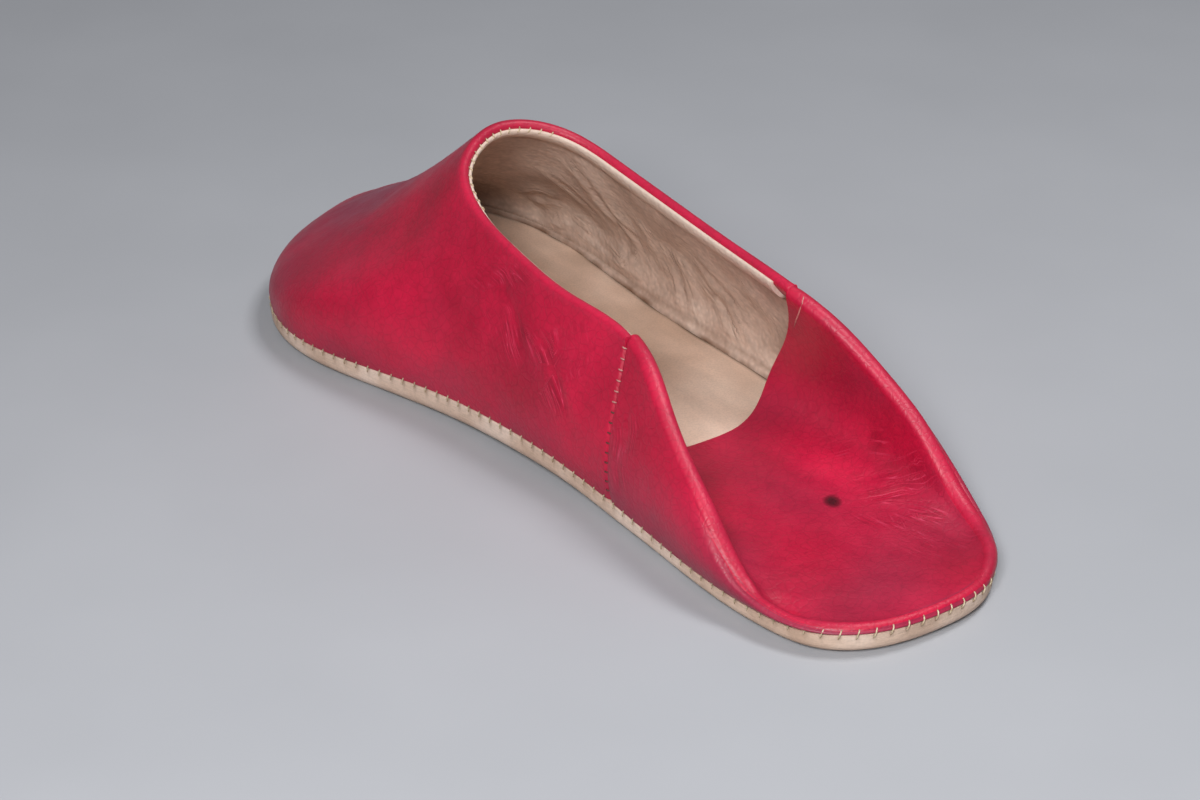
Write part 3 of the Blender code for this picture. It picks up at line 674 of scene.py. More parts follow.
# Thin undyed goat lining with its grain outwards: pinkish tan, pored, cracked into fine wrinkles
# where the vamp has bent, paler along its folded upper edge
def makeLiningLeather():
    look = {
        "pale": "#E2CBBB", "face": "#D4BAAA", "dull": "#BBA191", "valley": "#8C6F5E",
        "edge": "#DFCABA", "soil": "#6A4426",
        "cloud": 22.0, "grain": 1.3, "line": 4.0,
    }
    material, add, place = newMaterial("undyedGoatLining", {"Roughness": 0.62, "IOR": 1.45})
    cloud = add("TexNoise", "Fac", {"Vector": place, "Scale": 1000 / look["cloud"], "Detail": 5.0})
    lines = add("TexNoise", "Fac", {"Vector": place, "Scale": 1000 / look["line"], "Detail": 6.0})
    pebble = {"Vector": place, "Scale": 1000 / look["grain"]}
    pebble = add("TexVoronoi", "Distance", pebble, feature="SMOOTH_F1")
    valleys, share, worn = wrinkles(add, place, 2.6, 34)
    tan = [(0.34, look["dull"]), (0.5, look["face"]), (0.66, look["pale"])]
    colour = shaded(add, add("ValToRGB", "Color", {"Fac": cloud}, tan), [
        (0.6, pebble, [(0.1, 1.08), (0.85, 0.62)]), (0.5, lines, [(0.35, 0.82), (0.6, 1.04)]),
    ])
    folded = [(0.2, look["valley"]), (0.6, look["face"])]
    folded = add("ValToRGB", "Color", {"Fac": valleys}, folded)
    colour = overlaid(add, colour, [
        (add("Math", 0, {0: share, 1: 0.7}, operation="MULTIPLY"), folded),
        (marked(add, "edge"), look["edge"]),
        (marked(add, "soil"), look["soil"]),
    ])
    bumps = [(pebble, 0.7, 0.00034), (lines, 0.30, 0.0003), (worn, 0.7, 0.00040)]
    return wired(material, {"Base Color": colour, "Normal": reliefOf(add, bumps)})


# Waxed cotton thread, two plies: cream, pink where it has rubbed against the dyed leather, a
# little grubby, and with painted shade at its ends where it dives into its hole
def makeThread():
    # the dark colour is both the thread's dirt and the painted shade at its ends
    look = {"pale": "#E2D3B4", "dull": "#B39C77", "dye": "#CC5C76", "dirtAndShade": "#5A2E28", "ply": 0.5}
    material, add, place = newMaterial("waxedCottonThread", {"Roughness": 0.6, "IOR": 1.5})
    ply = add("TexNoise", "Fac", {"Vector": place, "Scale": 1000 / look["ply"], "Detail": 2.0})
    colour = add("ValToRGB", "Color", {"Fac": ply}, [(0.35, look["dull"]), (0.6, look["pale"])])
    layers = [(marked(add, name), look[name]) for name in ("dye", "dirtAndShade")]
    return wired(material, {
        "Base Color": overlaid(add, colour, layers),
        "Normal": reliefOf(add, [(ply, 0.5, 0.0001)]),
    })


# Matt studio paper, pale grey, hardly clouded
def makePaper():
    material, add, place = newMaterial("paleBackdropPaper", {"Roughness": 0.85})
    cloud = add("TexNoise", "Fac", {"Vector": place, "Scale": 1000 / 90.0, "Detail": 3.0})
    grey = add("ValToRGB", "Color", {"Fac": cloud}, [(0.3, "#ABADB2"), (0.7, "#B0B2B7")])
    return wired(material, {"Base Color": grey})


redLeather = makeRedLeather()
soleLeather = makeSoleLeather()
sockLeather = makeSockLeather()
liningLeather = makeLiningLeather()
threadMaterial = makeThread()
print("materials made")


# The vamp

vampForm = {
    "ribs": 440, "rows": 96, "innerRows": 16, "rollRows": 12,
    "wall": 1.6, "roll": 3.0, "rollDepth": 6.0,
    "wave": 0.22, "waveSize": 42.0, "wrinkleSpread": 7.0,
    "soleFade": 0.08, "topFade": 5.0, "seamFade": 0.02,  # where relief fades out at an edge
    # lines of points on the slipper, width, depth; a negative depth is a ridge
    "creases": [
        ([(30.2, -15, 45.8), (30.3, -4, 43.8), (31.4, 4, 39.2), (33.2, 10, 32.6), (34.1, 15, 28)],
         1.3, 0.30),
        ([(31.0, 11.5, 38), (31.4, 18.7, 34.3), (32.3, 23.5, 29.8), (33.3, 28.8, 24.1),
          (33.7, 31.6, 20.2)], 1.2, 0.42),
        ([(28.9, 19.8, 40.7), (30.2, 23.5, 35.5), (32.5, 21.7, 29.8)], 1.5, 0.30),
        ([(26.6, -8.5, 52.1), (27.2, 1.5, 50.2), (27.6, 11, 47.9)], 1.6, 0.20),
        ([(31.6, 8, 39.5), (32.0, 16, 35), (33.4, 21, 29), (34.6, 24, 22)], 2.4, -0.35),
        ([(33.0, 26, 33), (33.6, 32, 26), (34.0, 36, 20)], 2.6, -0.30),
    ],
    "creaseShare": 0.7,  # how much of a crease's depth is drawn as a shape
    "folds": [
        ([(31.5, -104, 18.2), (24.6, -99, 23.6), (20, -84, 32.5), (16.6, -74, 39.9)], 7.0, 0.55),
        ([(43.1, -67, 27.2), (35.6, -58, 35), (30.1, -46, 43.4), (23.8, -41, 52.8)], 8.0, 0.50),
        ([(46.3, -51, 26.3), (37.5, -40, 36.5), (30.4, -36, 45.2)], 7.0, -0.40),
        ([(-30, -92, 24), (-20, -84, 34), (-12, -74, 41)], 8.0, 0.45),
        ([(-44, -60, 22), (-36, -50, 34), (-28, -44, 44)], 8.0, 0.45),
    ],
}


# Both edges of a side seam are drawn in by the thread: steps of places away from the seam, which
# leave its own gap open, and the depth there, a narrow bell on a wide one
seamSteps = 0.0003 + np.array([0.0, 0.0015, 0.003, 0.005, 0.008, 0.012])


def seamGroove(toSeam):
    return 0.55 * np.exp(-((toSeam / 0.0035) ** 2)) + 0.20 * np.exp(-((toSeam / 0.014) ** 2))


# The vamp's outer side before its relief, its normals, how far below the collar each point is,
# and the wall's thickness there, which grows to the collar's roll
def vampWall(places, rows):
    outer = ribGrid(places, rows)
    fromTop = np.linalg.norm(outer - outer[:, -1:], axis=2)
    rollShare = np.clip(1 - fromTop / vampForm["rollDepth"], 0, 1)
    thick = vampForm["wall"] + (vampForm["roll"] - vampForm["wall"]) * rollShare**0.7
    return outer, outwardNormals(outer), fromTop, thick


# Painted sheen and shade on the vamp: a violet-grey sheen low down, painted sheen and shade
# over the toe, and painted shade on the toe's inner side
def vampSheenAndShade(outer):
    x, y, z = (outer[..., k] for k in range(3))
    low = np.clip(1 - (z - 6) / 16, 0, 1) * 0.45
    over = np.exp(-(((y + 96) / 30) ** 2)) * np.clip((z - 6) / 12, 0, 1)
    over = over * np.clip(1.3 - np.abs(x - 10) / 34, 0, 1)
    side = 0.45 * np.exp(-(((y + 92) / 26) ** 2)) * np.clip((x - 4) / 24, 0, 1)
    return np.clip(np.maximum(np.maximum(low, side), over) + 0.12 * waviness(outer, 18, 9), 0, 1)


# Each rib's section is the outer side with its relief, half a circle over the collar, and the
# inner side, which is the outer one less the wall along the normals
def makeVamp():
    f = vampForm
    start = 3 + seamSteps
    places = np.concatenate([start, np.linspace(3.018, 4.982, f["ribs"]), (8 - start)[::-1]])
    rows = np.linspace(0, 1, f["rows"]) ** 0.9
    outer, normal, fromTop, thick = vampWall(places, rows)
    inner = outer - normal * thick[:, :, None]
    # along the sole it steps in level, so that it stays above the sole's edge
    inner[:, 0] = outer[:, 0] - unit(normal[:, 0] * np.array([1.0, 1.0, 0.0])) * f["wall"]
    # relief fades out at the sole seam, the collar and the side seams, where pieces meet
    toSeam = np.minimum(places - 3, 5 - places)[:, None]
    fade = np.clip(rows / f["soleFade"], 0, 1)[None, :] * np.clip(fromTop / f["topFade"], 0, 1)
    fade = fade * np.clip(toSeam / f["seamFade"], 0, 1)
    relief = f["wave"] * waviness(outer, f["waveSize"], 4)
    for path, width, depth in f["creases"]:
        relief = relief - f["creaseShare"] * depth * bellRound(outer, path, width)
    worn = [path for path, width, depth in f["creases"] if depth > 0]
    beside, wrinkled = besideLines(outer, normal, worn, f["wrinkleSpread"])
    for path, width, depth in f["folds"]:
        relief = relief - depth * bellRound(outer, path, width)
    groove = seamGroove(toSeam) * np.clip(fromTop / 1.5, 0, 1)
    outer = outer + normal * (relief * fade - groove)[:, :, None]

    middle = 0.5 * (outer[:, -1] + inner[:, -1])
    turn = np.pi * np.arange(1, f["rollRows"]) / f["rollRows"]
    spoke = spokes(normal[:, -1], unit(outer[:, -1] - outer[:, -2]), turn)
    roll = middle[:, None] + 0.5 * f["roll"] * spoke
    keep = np.linspace(len(rows) - 1, 0, f["innerRows"]).astype(int)
    section = np.concatenate([outer, roll, inner[:, keep]], 1)
    vertices = section.reshape(-1, 3)
    number = numbered(*section.shape[:2])
    quads = quadsOf(number, closed=True)
    faces = facedOut(vertices, quads)
    turned = (faces[0] != quads[0]).any()  # the end caps turn round with the quads
    ends = [number[0], number[-1, ::-1]] if turned else [number[0, ::-1], number[-1]]
    faces = faces.tolist() + [end.tolist() for end in ends]

    pad = np.zeros((len(places), section.shape[1] - len(rows)))
    # painted highlight round the collar's roll
    rollHighlight = pad.copy()
    rollHighlight[:, : len(turn)] = np.sin(turn) * 0.75
    marks = {
        # the vamp's painted sheen and shade
        "sheenAndShade": np.concatenate([vampSheenAndShade(outer), pad], 1),
        "beside": np.concatenate([beside, pad + farAway], 1),
        "wrinkle": np.concatenate([wrinkled * fade, pad], 1),
        # painted highlight and gloss along the collar's top and over its roll
        "wearAndPaintedHighlight": np.concatenate([np.clip(1 - fromTop / 1.2, 0, 1) * 0.5, rollHighlight], 1),
    }
    return makePiece("vampLeather", lifted(vertices), faces, marks)


vamp = makeVamp()
vamp.data.materials.append(redLeather)
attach(vamp, "root")
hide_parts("vamp")
print("vamp made")


# The lining of the vamp

liningForm = {
    "ribs": 400, "rows": 70, "from": 3.012, "to": 4.988,
    "thickness": 0.4, "clear": 0.08, "wave": 0.35, "waveSize": 16, "wrinkleSpread": 6.0,
    "band": 6.6, "bandProud": 0.8, "climb": 146, "climbRows": 10,
    "flatFrom": 4.32, "flatShare": 0.75,  # where the band goes flat, and how much thinner it is
    "short": 0.040, "shortDepth": 12.0,
    "turnIn": ((3.15, 4.9), (3.0, 5.6), (2.75, 6.3)),  # inset from the sole's edge, height
    "swell": 1.3, "swellWidth": 4.5, "valley": 2.2, "valleyWidth": 0.6,  # added to each crease
    "creases": [
        ([(-36.3, -82.3, 21.9), (-42.3, -83.5, 12), (-42.3, -81, 6.6)], 1.5, 0.55),
        ([(-18, -47.5, 51.5), (-25.7, -44.4, 42.4), (-33.3, -45.8, 31.9), (-38.2, -38.4, 24.4),
          (-40.8, -37.1, 13.5)], 1.6, 0.70),
        ([(-28.5, -43.8, 38.4), (-38.4, -45.8, 24.5), (-41.5, -46.6, 12), (-39.7, -40.2, 6.4)],
         1.8, 0.60),
        ([(-34.2, -21.4, 30.7), (-39.7, -20.4, 19.1), (-39.8, -17.9, 9.5), (-38.4, -15, 5.1)],
         1.8, 0.65),
        ([(-36.6, -95.8, 16.7), (-34.6, -79.7, 24.2), (-39.2, -74.9, 20.8)], 1.5, 0.50),
        ([(-37.3, -9.7, 25.6), (-40, -1.9, 19.1), (-40.8, 4, 12.5), (-40, 6.1, 7.6)], 1.7, 0.55),
        ([(-42.4, -78.6, 13.9), (-42.7, -64, 11.6), (-41.5, -50, 10.6), (-39.7, -40.2, 6.4)],
         1.4, 0.50),
        ([(-24, -62, 46), (-32, -60, 34), (-38, -58, 24), (-42, -60, 14)], 1.6, 0.55),
        ([(-30, -30, 36), (-37, -31, 26), (-40, -28, 14)], 2.2, -0.55),
        ([(-33, -8, 34), (-38, 4, 24), (-39.5, 12, 14)], 2.0, 0.35),
        ([(-30, 14, 34), (-36, 22, 24), (-38.5, 26, 12)], 2.0, 0.35),
    ],
}


# A sheet that lies on the vamp's inner side and climbs its roll. Its front stands off its back
# by its thickness, its relief, and half an ellipse across the band of its folded edge.
def makeLining():
    f = liningForm
    places = np.linspace(f["from"], f["to"], f["ribs"])
    rows = np.linspace(0.0, 1.0, f["rows"])
    outer, normal, fromTop, thick = vampWall(places, rows)
    back = outer - normal * (thick + f["clear"])[:, :, None]
    relief = f["wave"] * (waviness(outer, f["waveSize"], 21) * 0.5 + 0.5)
    for path, width, depth in f["creases"]:
        # the path was read on the wall behind the lining, so a crease reaches through it
        swell = f["swell"] * (depth > 0) * bellRound(outer, path, width + f["swellWidth"])
        valley = f["valley"] * depth * bellRound(outer, path, width + f["valleyWidth"])
        relief = relief + swell - valley
    worn = [path for path, width, depth in f["creases"]]
    beside, wrinkled = besideLines(outer, normal, worn, f["wrinkleSpread"])
    fade = np.clip((fromTop - 4) / 5, 0, 1) * np.clip(rows / 0.06, 0, 1)[None, :]

    # the folded edge goes round the roll from its inner side, and is padded across its band
    turn = np.radians(np.linspace(180, f["climb"], f["climbRows"] + 1)[1:])
    top = np.ones((len(places), len(turn)))
    middle = outer[:, -1] - 0.5 * vampForm["roll"] * normal[:, -1]
    spoke = spokes(normal[:, -1], unit(outer[:, -1] - outer[:, -2]), turn)
    radius = 0.5 * vampForm["roll"] + f["clear"]
    climbed = radius * (np.pi - turn)
    toEnd = np.concatenate([fromTop + climbed[-1], (climbed[-1] - climbed) * top], 1)
    across = np.clip(2 * toEnd / f["band"] - 1, -1, 1)
    # on the inner side of the foot the edge is drawn flat and stays behind the vamp's roll
    flat = np.clip((places - f["flatFrom"]) / 0.12, 0, 1)[:, None] * np.clip((9 - toEnd) / 4, 0, 1)
    band = f["bandProud"] * np.sqrt(1 - across**2) * (1 - flat)
    thickness = f["thickness"] * (1 - f["flatShare"] * flat)
    skin = np.concatenate([np.maximum(relief, 0) * fade, 0 * top], 1)
    back = np.concatenate([back, middle[:, None] + radius * spoke], 1)
    front = back + np.concatenate([-normal, spoke], 1) * (thickness + skin + band)[:, :, None]

    # near the outer side seam the upper part stops short, and the vamp's own edge shows
    short = f["short"] * np.clip((f["shortDepth"] - toEnd[0]) / 3 + 0.5, 0, 1)
    near = np.clip(1 - (places - places[0]) / 0.3, 0, 1)[:, None]
    at = np.arange(len(places))[:, None] + short[None, :] / (places[1] - places[0]) * near
    low = at.astype(int).clip(0, len(places) - 2)
    part = (at - low)[:, :, None]
    column = np.arange(at.shape[1])[None, :]
    front, back = (g[low, column] * (1 - part) + g[low + 1, column] * part for g in (front, back))

    # at the bottom the lining turns in over the sole's edge and down to the sock
    foot, out = atSole(places)
    turnIn = np.stack([atHeight(foot, height) - out * inset for inset, height in f["turnIn"]], 1)
    front = np.concatenate([turnIn, front], 1)
    back = np.concatenate([turnIn + out[:, None] * 0.6 - upward * 0.1, back], 1)
    vertices, faces = closedSheet(front, back)

    # soil along the sock, and a brown notch at the outer seam, just under the band
    soil = np.clip((0.5 + 0.5 * waviness(turnIn, 9, 77)) * np.array([1.0, 0.7, 0.25]), 0, 0.85)
    grime = np.clip(1 - rows / 0.03, 0, 1) * 0.35 * np.ones((len(places), 1))
    under = ((toEnd - f["band"] - 0.9) / 1.3) ** 2
    notch = np.exp(-(under + (((places - f["from"]) / 0.04) ** 2)[:, None]))

    def onBoth(low, values, above=None):
        parts = [low, values] if above is None else [low, values, above]
        return np.concatenate([np.concatenate(parts, 1)] * 2, 0)

    pad = np.zeros((len(places), len(f["turnIn"])))
    marks = {
        "beside": onBoth(pad + farAway, beside, top * farAway),
        "wrinkle": onBoth(pad, wrinkled * fade, 0 * top),
        "edge": onBoth(pad, np.clip((f["band"] - toEnd) / 0.8, 0, 1) * 0.8),
        "soil": onBoth(soil, np.maximum(np.concatenate([grime, 0 * top], 1), notch * 0.95)),
    }
    return makePiece("vampLining", lifted(vertices), faces.tolist(), marks)


lining = makeLining()
lining.data.materials.append(liningLeather)
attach(lining, "root")
print("lining made")


# The trodden down quarter

quarterForm = {
    "sideRibs": 84, "heelRibs": 60, "wallRows": 34, "rollRows": 16,
    "wall": 1.4, "foldRadius": 2.3, "leanShare": 0.85, "tallWall": 4.0,
    "freeEdge": 0.647, "freeEdgeDip": 0.026, "heelEdge": 0.992,
    "wave": 0.16, "waveSize": 30.0, "wrinkleSpread": 5.5, "wrinkleShare": 0.7,
    # painted violet-grey sheen: how much low on the side walls, and how much over the flap
    "sideSheen": 0.85, "flapSheen": 0.30,
    "creases": [
        ([(30.1, 48.4, 30.2), (32.1, 51.7, 24.6), (33.4, 51.9, 16.9), (33.2, 54.3, 11)], 1.1, 0.35),
        ([(29.4, 50.2, 32.6), (31, 53.4, 27.8), (32.6, 54.1, 21.8)], 1.0, 0.28),
        ([(-15.7, 81, 7.1), (-19.5, 91.4, 7.3), (-22.9, 102.1, 7.3), (-26.5, 115.7, 8.8)],
         1.6, 0.30),
        ([(-19.3, 74.5, 7.6), (-28, 79.2, 9.8), (-31.7, 89.2, 16.8)], 1.5, 0.28),
        ([(-15.8, 82.8, 7.1), (-26.3, 87, 8.5), (-31.4, 95.4, 13.1)], 1.3, 0.30),
        ([(-13.4, 83.7, 7), (-15.9, 99.4, 7), (-18.9, 113.9, 7.2)], 1.8, 0.28),
        ([(-22.4, 60.9, 8.6), (-28.6, 64.8, 11.3), (-31.3, 76.8, 14.6)], 1.8, 0.20),
        ([(-17, 85, 7.2), (-24, 94, 8), (-29, 104, 9.5)], 1.0, 0.22),
    ],
    "folds": [
        ([(34, 96, 12.5), (31.7, 102.8, 9.9), (27, 107.4, 7), (24.6, 116.7, 6.6)], 2.8, 0.80),
        ([(-6, 62, 7), (-8, 90, 7), (-7, 116, 7)], 9.0, 0.20),
    ],
}
sockTop = slipper["soleThickness"] + 2 * slipper["gap"] + slipper["insoleThickness"]


# The flap: each row is two Bezier arcs that hang from the folds' ends and meet on the sock. They
# are pushed to the free edge by smooth steps, and the last row is the heel's own fold.
def hungFlap(side, edge, heading, nHeel):
    q = quarterForm
    nSide = len(side)
    t = np.linspace(0, 1, nHeel + 1)
    fromEnd = 1 - np.abs(2 * t - 1)
    v = (side - side[0]) / (side[-1] - side[0])
    a, b = edge[:nSide], edge[::-1][:nSide]
    floorZ = sockTop + q["wall"]
    middle = 0.5 * (a + b)
    middle[:, 2] = floorZ
    sink, flat = (smoothRead(foldTable, column, side - 1) for column in (3, 4))
    flap = np.zeros((nSide, nHeel + 1, 3))
    for end, head, half in ((a, heading[:nSide], t <= 0.5), (b, heading[::-1][:nSide], t > 0.5)):
        reach = sink * np.maximum(end[:, 2] - floorZ, 4.0)
        low = end + head * reach[:, None]
        high = middle + (end - middle) * np.array([1.0, 0, 0]) * flat[:, None]
        u = fromEnd[half][None, :, None]
        flap[:, half] = bezier(u, *(p[:, None] for p in (end, low, high, middle)))
    ahead = alongFoot(q["freeEdge"] + (q["heelEdge"] - q["freeEdge"]) * v)
    ahead = ahead - 0.5 * (a[:, 1] + b[:, 1])
    flap[:, :, 1] += ahead[:, None] * (fromEnd**2 * (3 - 2 * fromEnd))[None, :]
    dip = np.sin(np.pi * np.clip(fromEnd / 0.9, 0, 1)) ** 2
    flap[:, :, 1] -= q["freeEdgeDip"] * slipper["length"] * ((1 - v) ** 2)[:, None] * dip[None, :]
    heelLine = edge[nSide - 1 : nSide + nHeel]
    flap = flap + (heelLine - flap[-1])[None] * (v**4)[:, None, None]
    flap[:, 0], flap[:, -1] = a, b
    return flap


# The quarter's upper surface: ribs up to the top line, then an arc round the fold, whose turn
# and radius the fold table gives, and then the flap
def foldedQuarter():
    q = quarterForm
    side = np.concatenate([1 + seamSteps, np.linspace(1.018, 1.86, q["sideRibs"])])
    nSide, nHeel = len(side), q["heelRibs"]
    heel = np.linspace(1.86, 2.14, nHeel + 1)
    places = np.concatenate([side, heel[1:-1], 4 - side[::-1]])
    wall = ribGrid(places, np.linspace(0, 1, q["wallRows"]))
    out = flatVectors(unit(readAt(topLine, slipper["seamAtCollar"], topOut, places)))
    toHeel = 1 - np.abs(places - 2)
    turn = np.radians(smoothRead(foldTable, 1, toHeel))
    radius = q["foldRadius"] * smoothRead(foldTable, 2, toHeel)
    lean = wall[:, -1] - wall[:, -2]
    # a low wall leans no more than keeps its inner side above the sole's edge
    height = wall[:, -1, 2] - wall[:, 0, 2]
    most = q["leanShare"] * np.arcsin(np.clip(height / q["wall"], 0, 1))
    start = np.clip(np.arctan2(-(lean * out).sum(1), lean[:, 2]), 0, most)

    def spoke(angle):
        return out * np.cos(angle)[:, None] + upward * np.sin(angle)[:, None]

    centre = wall[:, -1] - spoke(start) * radius[:, None]
    shares = np.linspace(0, 1, q["rollRows"] + 1)[1:]
    overFold = [spoke(start + (turn - start) * s) for s in shares]
    through = [spoke(start * s) for s in np.linspace(0, 1, q["wallRows"])] + overFold
    arcs = centre[:, None] + np.stack(overFold, 1) * radius[:, None, None]
    band = np.concatenate([wall, arcs], 1)
    heading = -out * np.sin(turn)[:, None] + upward * np.cos(turn)[:, None]
    flap = hungFlap(side, band[:, -1], heading, nHeel)

    # one mesh: the band's points first, then the flap's own ones
    across = band.shape[1]
    bandNumber = numbered(len(places), across)
    number = np.full((nSide, nHeel + 1), -1)
    number[:, 0] = bandNumber[:nSide, -1]
    number[:, -1] = bandNumber[::-1, -1][:nSide]
    number[-1] = bandNumber[nSide - 1 : nSide + nHeel, -1]
    own = number < 0
    number[own] = bandNumber.size + np.arange(own.sum())
    # a tall wall and the flap are as thick as their own normals say; the rest is steered
    ownShare = np.zeros((len(places), across))
    ownShare[:, 1 : q["wallRows"]] = np.clip(height / q["tallWall"] - 0.5, 0, 1)[:, None]
    # how far round the fold a point is: 1 on the crest, 0 on the wall and on the flap; it is
    # the painted highlight and the gloss of the crests
    crest = np.zeros((len(places), across))
    crest[:, -q["rollRows"] :] = np.sin(np.pi * shares * 0.85) ** 2
    crest[:, -q["rollRows"] - 4 : -q["rollRows"]] = np.linspace(0, 0.15, 4)
    fromSeam = np.clip(np.minimum(places - 1, 3 - places) / 0.05, 0, 1)
    fromHeel = np.clip((np.abs(places - 2) - 0.10) / 0.10, 0.15, 1)
    crest = crest * (fromSeam * fromHeel)[:, None]
    flapZeros = np.zeros(own.sum())
    return {
        "vertices": np.concatenate([band.reshape(-1, 3), flap[own]]),
        "faces": np.concatenate([quadsOf(bandNumber), quadsOf(number)]),
        "ownShare": np.concatenate([ownShare.ravel(), flapZeros + 1])[:, None],
        "steered": np.concatenate([np.stack(through, 1).reshape(-1, 3), np.zeros((own.sum(), 3))]),
        "wearAndPaintedHighlight": np.concatenate([crest.ravel(), flapZeros]),
        "places": places, "foot": wall[:, 0, 2], "across": across,
    }


# Each point's normal is the sum of the cross products of its quads' diagonals
def vertexNormals(vertices, faces):
    a, b, c, d = (vertices[faces[:, k]] for k in range(4))
    each = np.cross(c - a, d - b)
    total = np.zeros_like(vertices)
    for k in range(4):
        np.add.at(total, faces[:, k], each)
    return unit(total)


# The upper surface with its relief, joined at its free edges to the same surface less the wall
def makeQuarter():
    q = quarterForm
    folded = foldedQuarter()
    vertices, faces, wearAndPaintedHighlight = folded["vertices"], folded["faces"], folded["wearAndPaintedHighlight"]
    places, across = folded["places"], folded["across"]
    count, bandCount = len(vertices), len(places) * across
    normal = vertexNormals(vertices, faces)
    if normal[-1, 2] < 0:
        faces = faces[:, ::-1]
        normal = -normal
    normal = unit(normal * folded["ownShare"] + folded["steered"] * (1 - folded["ownShare"]))
    deeper = vertices - normal * q["wall"]
    deeper[:, 2] = np.maximum(deeper[:, 2], sockTop)
    relief = q["wave"] * waviness(vertices, q["waveSize"], 13)
    for path, width, depth in q["creases"] + q["folds"]:
        relief = relief - depth * bellRound(vertices, path, width)
    worn = [path for path, width, depth in q["creases"]]
    beside, wrinkled = besideLines(vertices, normal, worn, q["wrinkleSpread"])
    fade = np.ones(count)
    above = vertices[:bandCount, 2].reshape(-1, across) - folded["foot"][:, None]
    fade[:bandCount] = np.clip(above.ravel() / 3.0, 0, 1)
    fade = np.where(vertices[:, 1] < 50, 0.4 * fade, fade)  # calmer towards the side seams
    groove = np.zeros(count)
    drawnIn = seamGroove(np.minimum(places - 1, 3 - places))
    groove[:bandCount] = np.repeat(drawnIn, across)
    groove[:bandCount] *= np.arange(bandCount) % across < q["wallRows"] + 4
    skin = vertices + normal * (relief * fade - groove)[:, None]

    # a side of a quad is free if no other quad runs along it the other way
    sides = np.concatenate([faces[:, [k, (k + 1) % 4]] for k in range(4)])
    free = sides[~np.isin(sides @ [1, count], sides @ [count, 1])]
    rim = np.stack([free[:, 1], free[:, 0], free[:, 0] + count, free[:, 1] + count], -1)
    solid = np.concatenate([skin, deeper])
    faces = facedOut(solid, np.concatenate([faces, faces[:, ::-1] + count, rim]))

    # painted violet-grey sheen, low on the side walls but not on the crests, and over the whole
    # flap
    sheenAndShade = np.zeros(count)
    low = np.clip(1 - (vertices[:bandCount, 2] - 5) / 22, 0, 1)
    sheenAndShade[:bandCount] = low * q["sideSheen"] * (wearAndPaintedHighlight[:bandCount] < 0.05)
    sheenAndShade[bandCount:] = q["flapSheen"] + 0.2 * waviness(vertices[bandCount:], 30, 33)
    marks = {
        "sheenAndShade": np.clip(sheenAndShade, 0, 1),
        "beside": beside,
        "wrinkle": wrinkled * np.minimum(fade * 2.5, 1) * q["wrinkleShare"],
        "wearAndPaintedHighlight": wearAndPaintedHighlight,
    }
    marks = {name: np.concatenate([values, np.zeros(count)]) for name, values in marks.items()}
    return makePiece("heelQuarterLeather", lifted(solid), faces.tolist(), marks)


quarter = makeQuarter()
quarter.data.materials.append(redLeather)
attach(quarter, "root")
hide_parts("heel_quarter")
print("quarter made")


# The sole and the sock

soleForm = {
    "around": 1560, "columns": 26, "edgeRound": 3.8, "edgeWall": 2.4,
    "stitchStep": 4.1, "stitchDent": 0.38, "wobble": 0.30, "wobbleSize": 34,
    "floorDirt": 0.55, "stitchDirt": 0.55,
}


# Places all round the foot, closer together over its front half than round the heel
def loopPlaces(count):
    front = np.linspace(0, 1, int(count * 0.34), endpoint=False)
    heel = np.linspace(1, 2, count // 2 - len(front), endpoint=False)
    half = np.concatenate([front, heel])
    return np.concatenate([half, [2.0], 4 - half[:0:-1]])


# Rings of points joined ring to ring, with rows of points across the first and the last ring
# and a fan of triangles at both ends of those rows
def ringSolid(rings, columns):
    around = len(rings[0])
    half = around // 2
    number = numbered(len(rings), around)
    vertices, faces, fans = [np.concatenate(rings)], [quadsOf(number, closed=True)[:, ::-1]], []
    count = number.size
    share = (np.arange(1, columns) / columns)[None, :, None]
    k = np.arange(1, half)
    for ring, up in ((0, False), (len(rings) - 1, True)):
        left, right = rings[ring][k], rings[ring][around - k]
        vertices.append((left[:, None] + (right - left)[:, None] * share).reshape(-1, 3))
        grid = np.empty((half - 1, columns + 1), int)
        grid[:, 0], grid[:, -1] = number[ring, k], number[ring, around - k]
        grid[:, 1:-1] = numbered(half - 1, columns - 1, count)
        count += (half - 1) * (columns - 1)
        first, last = (np.full(columns, number[ring, tip]) for tip in (0, half))
        fan = np.concatenate([
            np.stack([first, grid[0, :-1], grid[0, 1:]], 1),
            np.stack([last, grid[-1, 1:], grid[-1, :-1]], 1),
        ])
        quads = quadsOf(grid)
        faces.append(quads if up else quads[:, ::-1])
        fans.append(fan if up else fan[:, ::-1])
    return np.concatenate(vertices), np.concatenate(faces).tolist() + np.concatenate(fans).tolist()


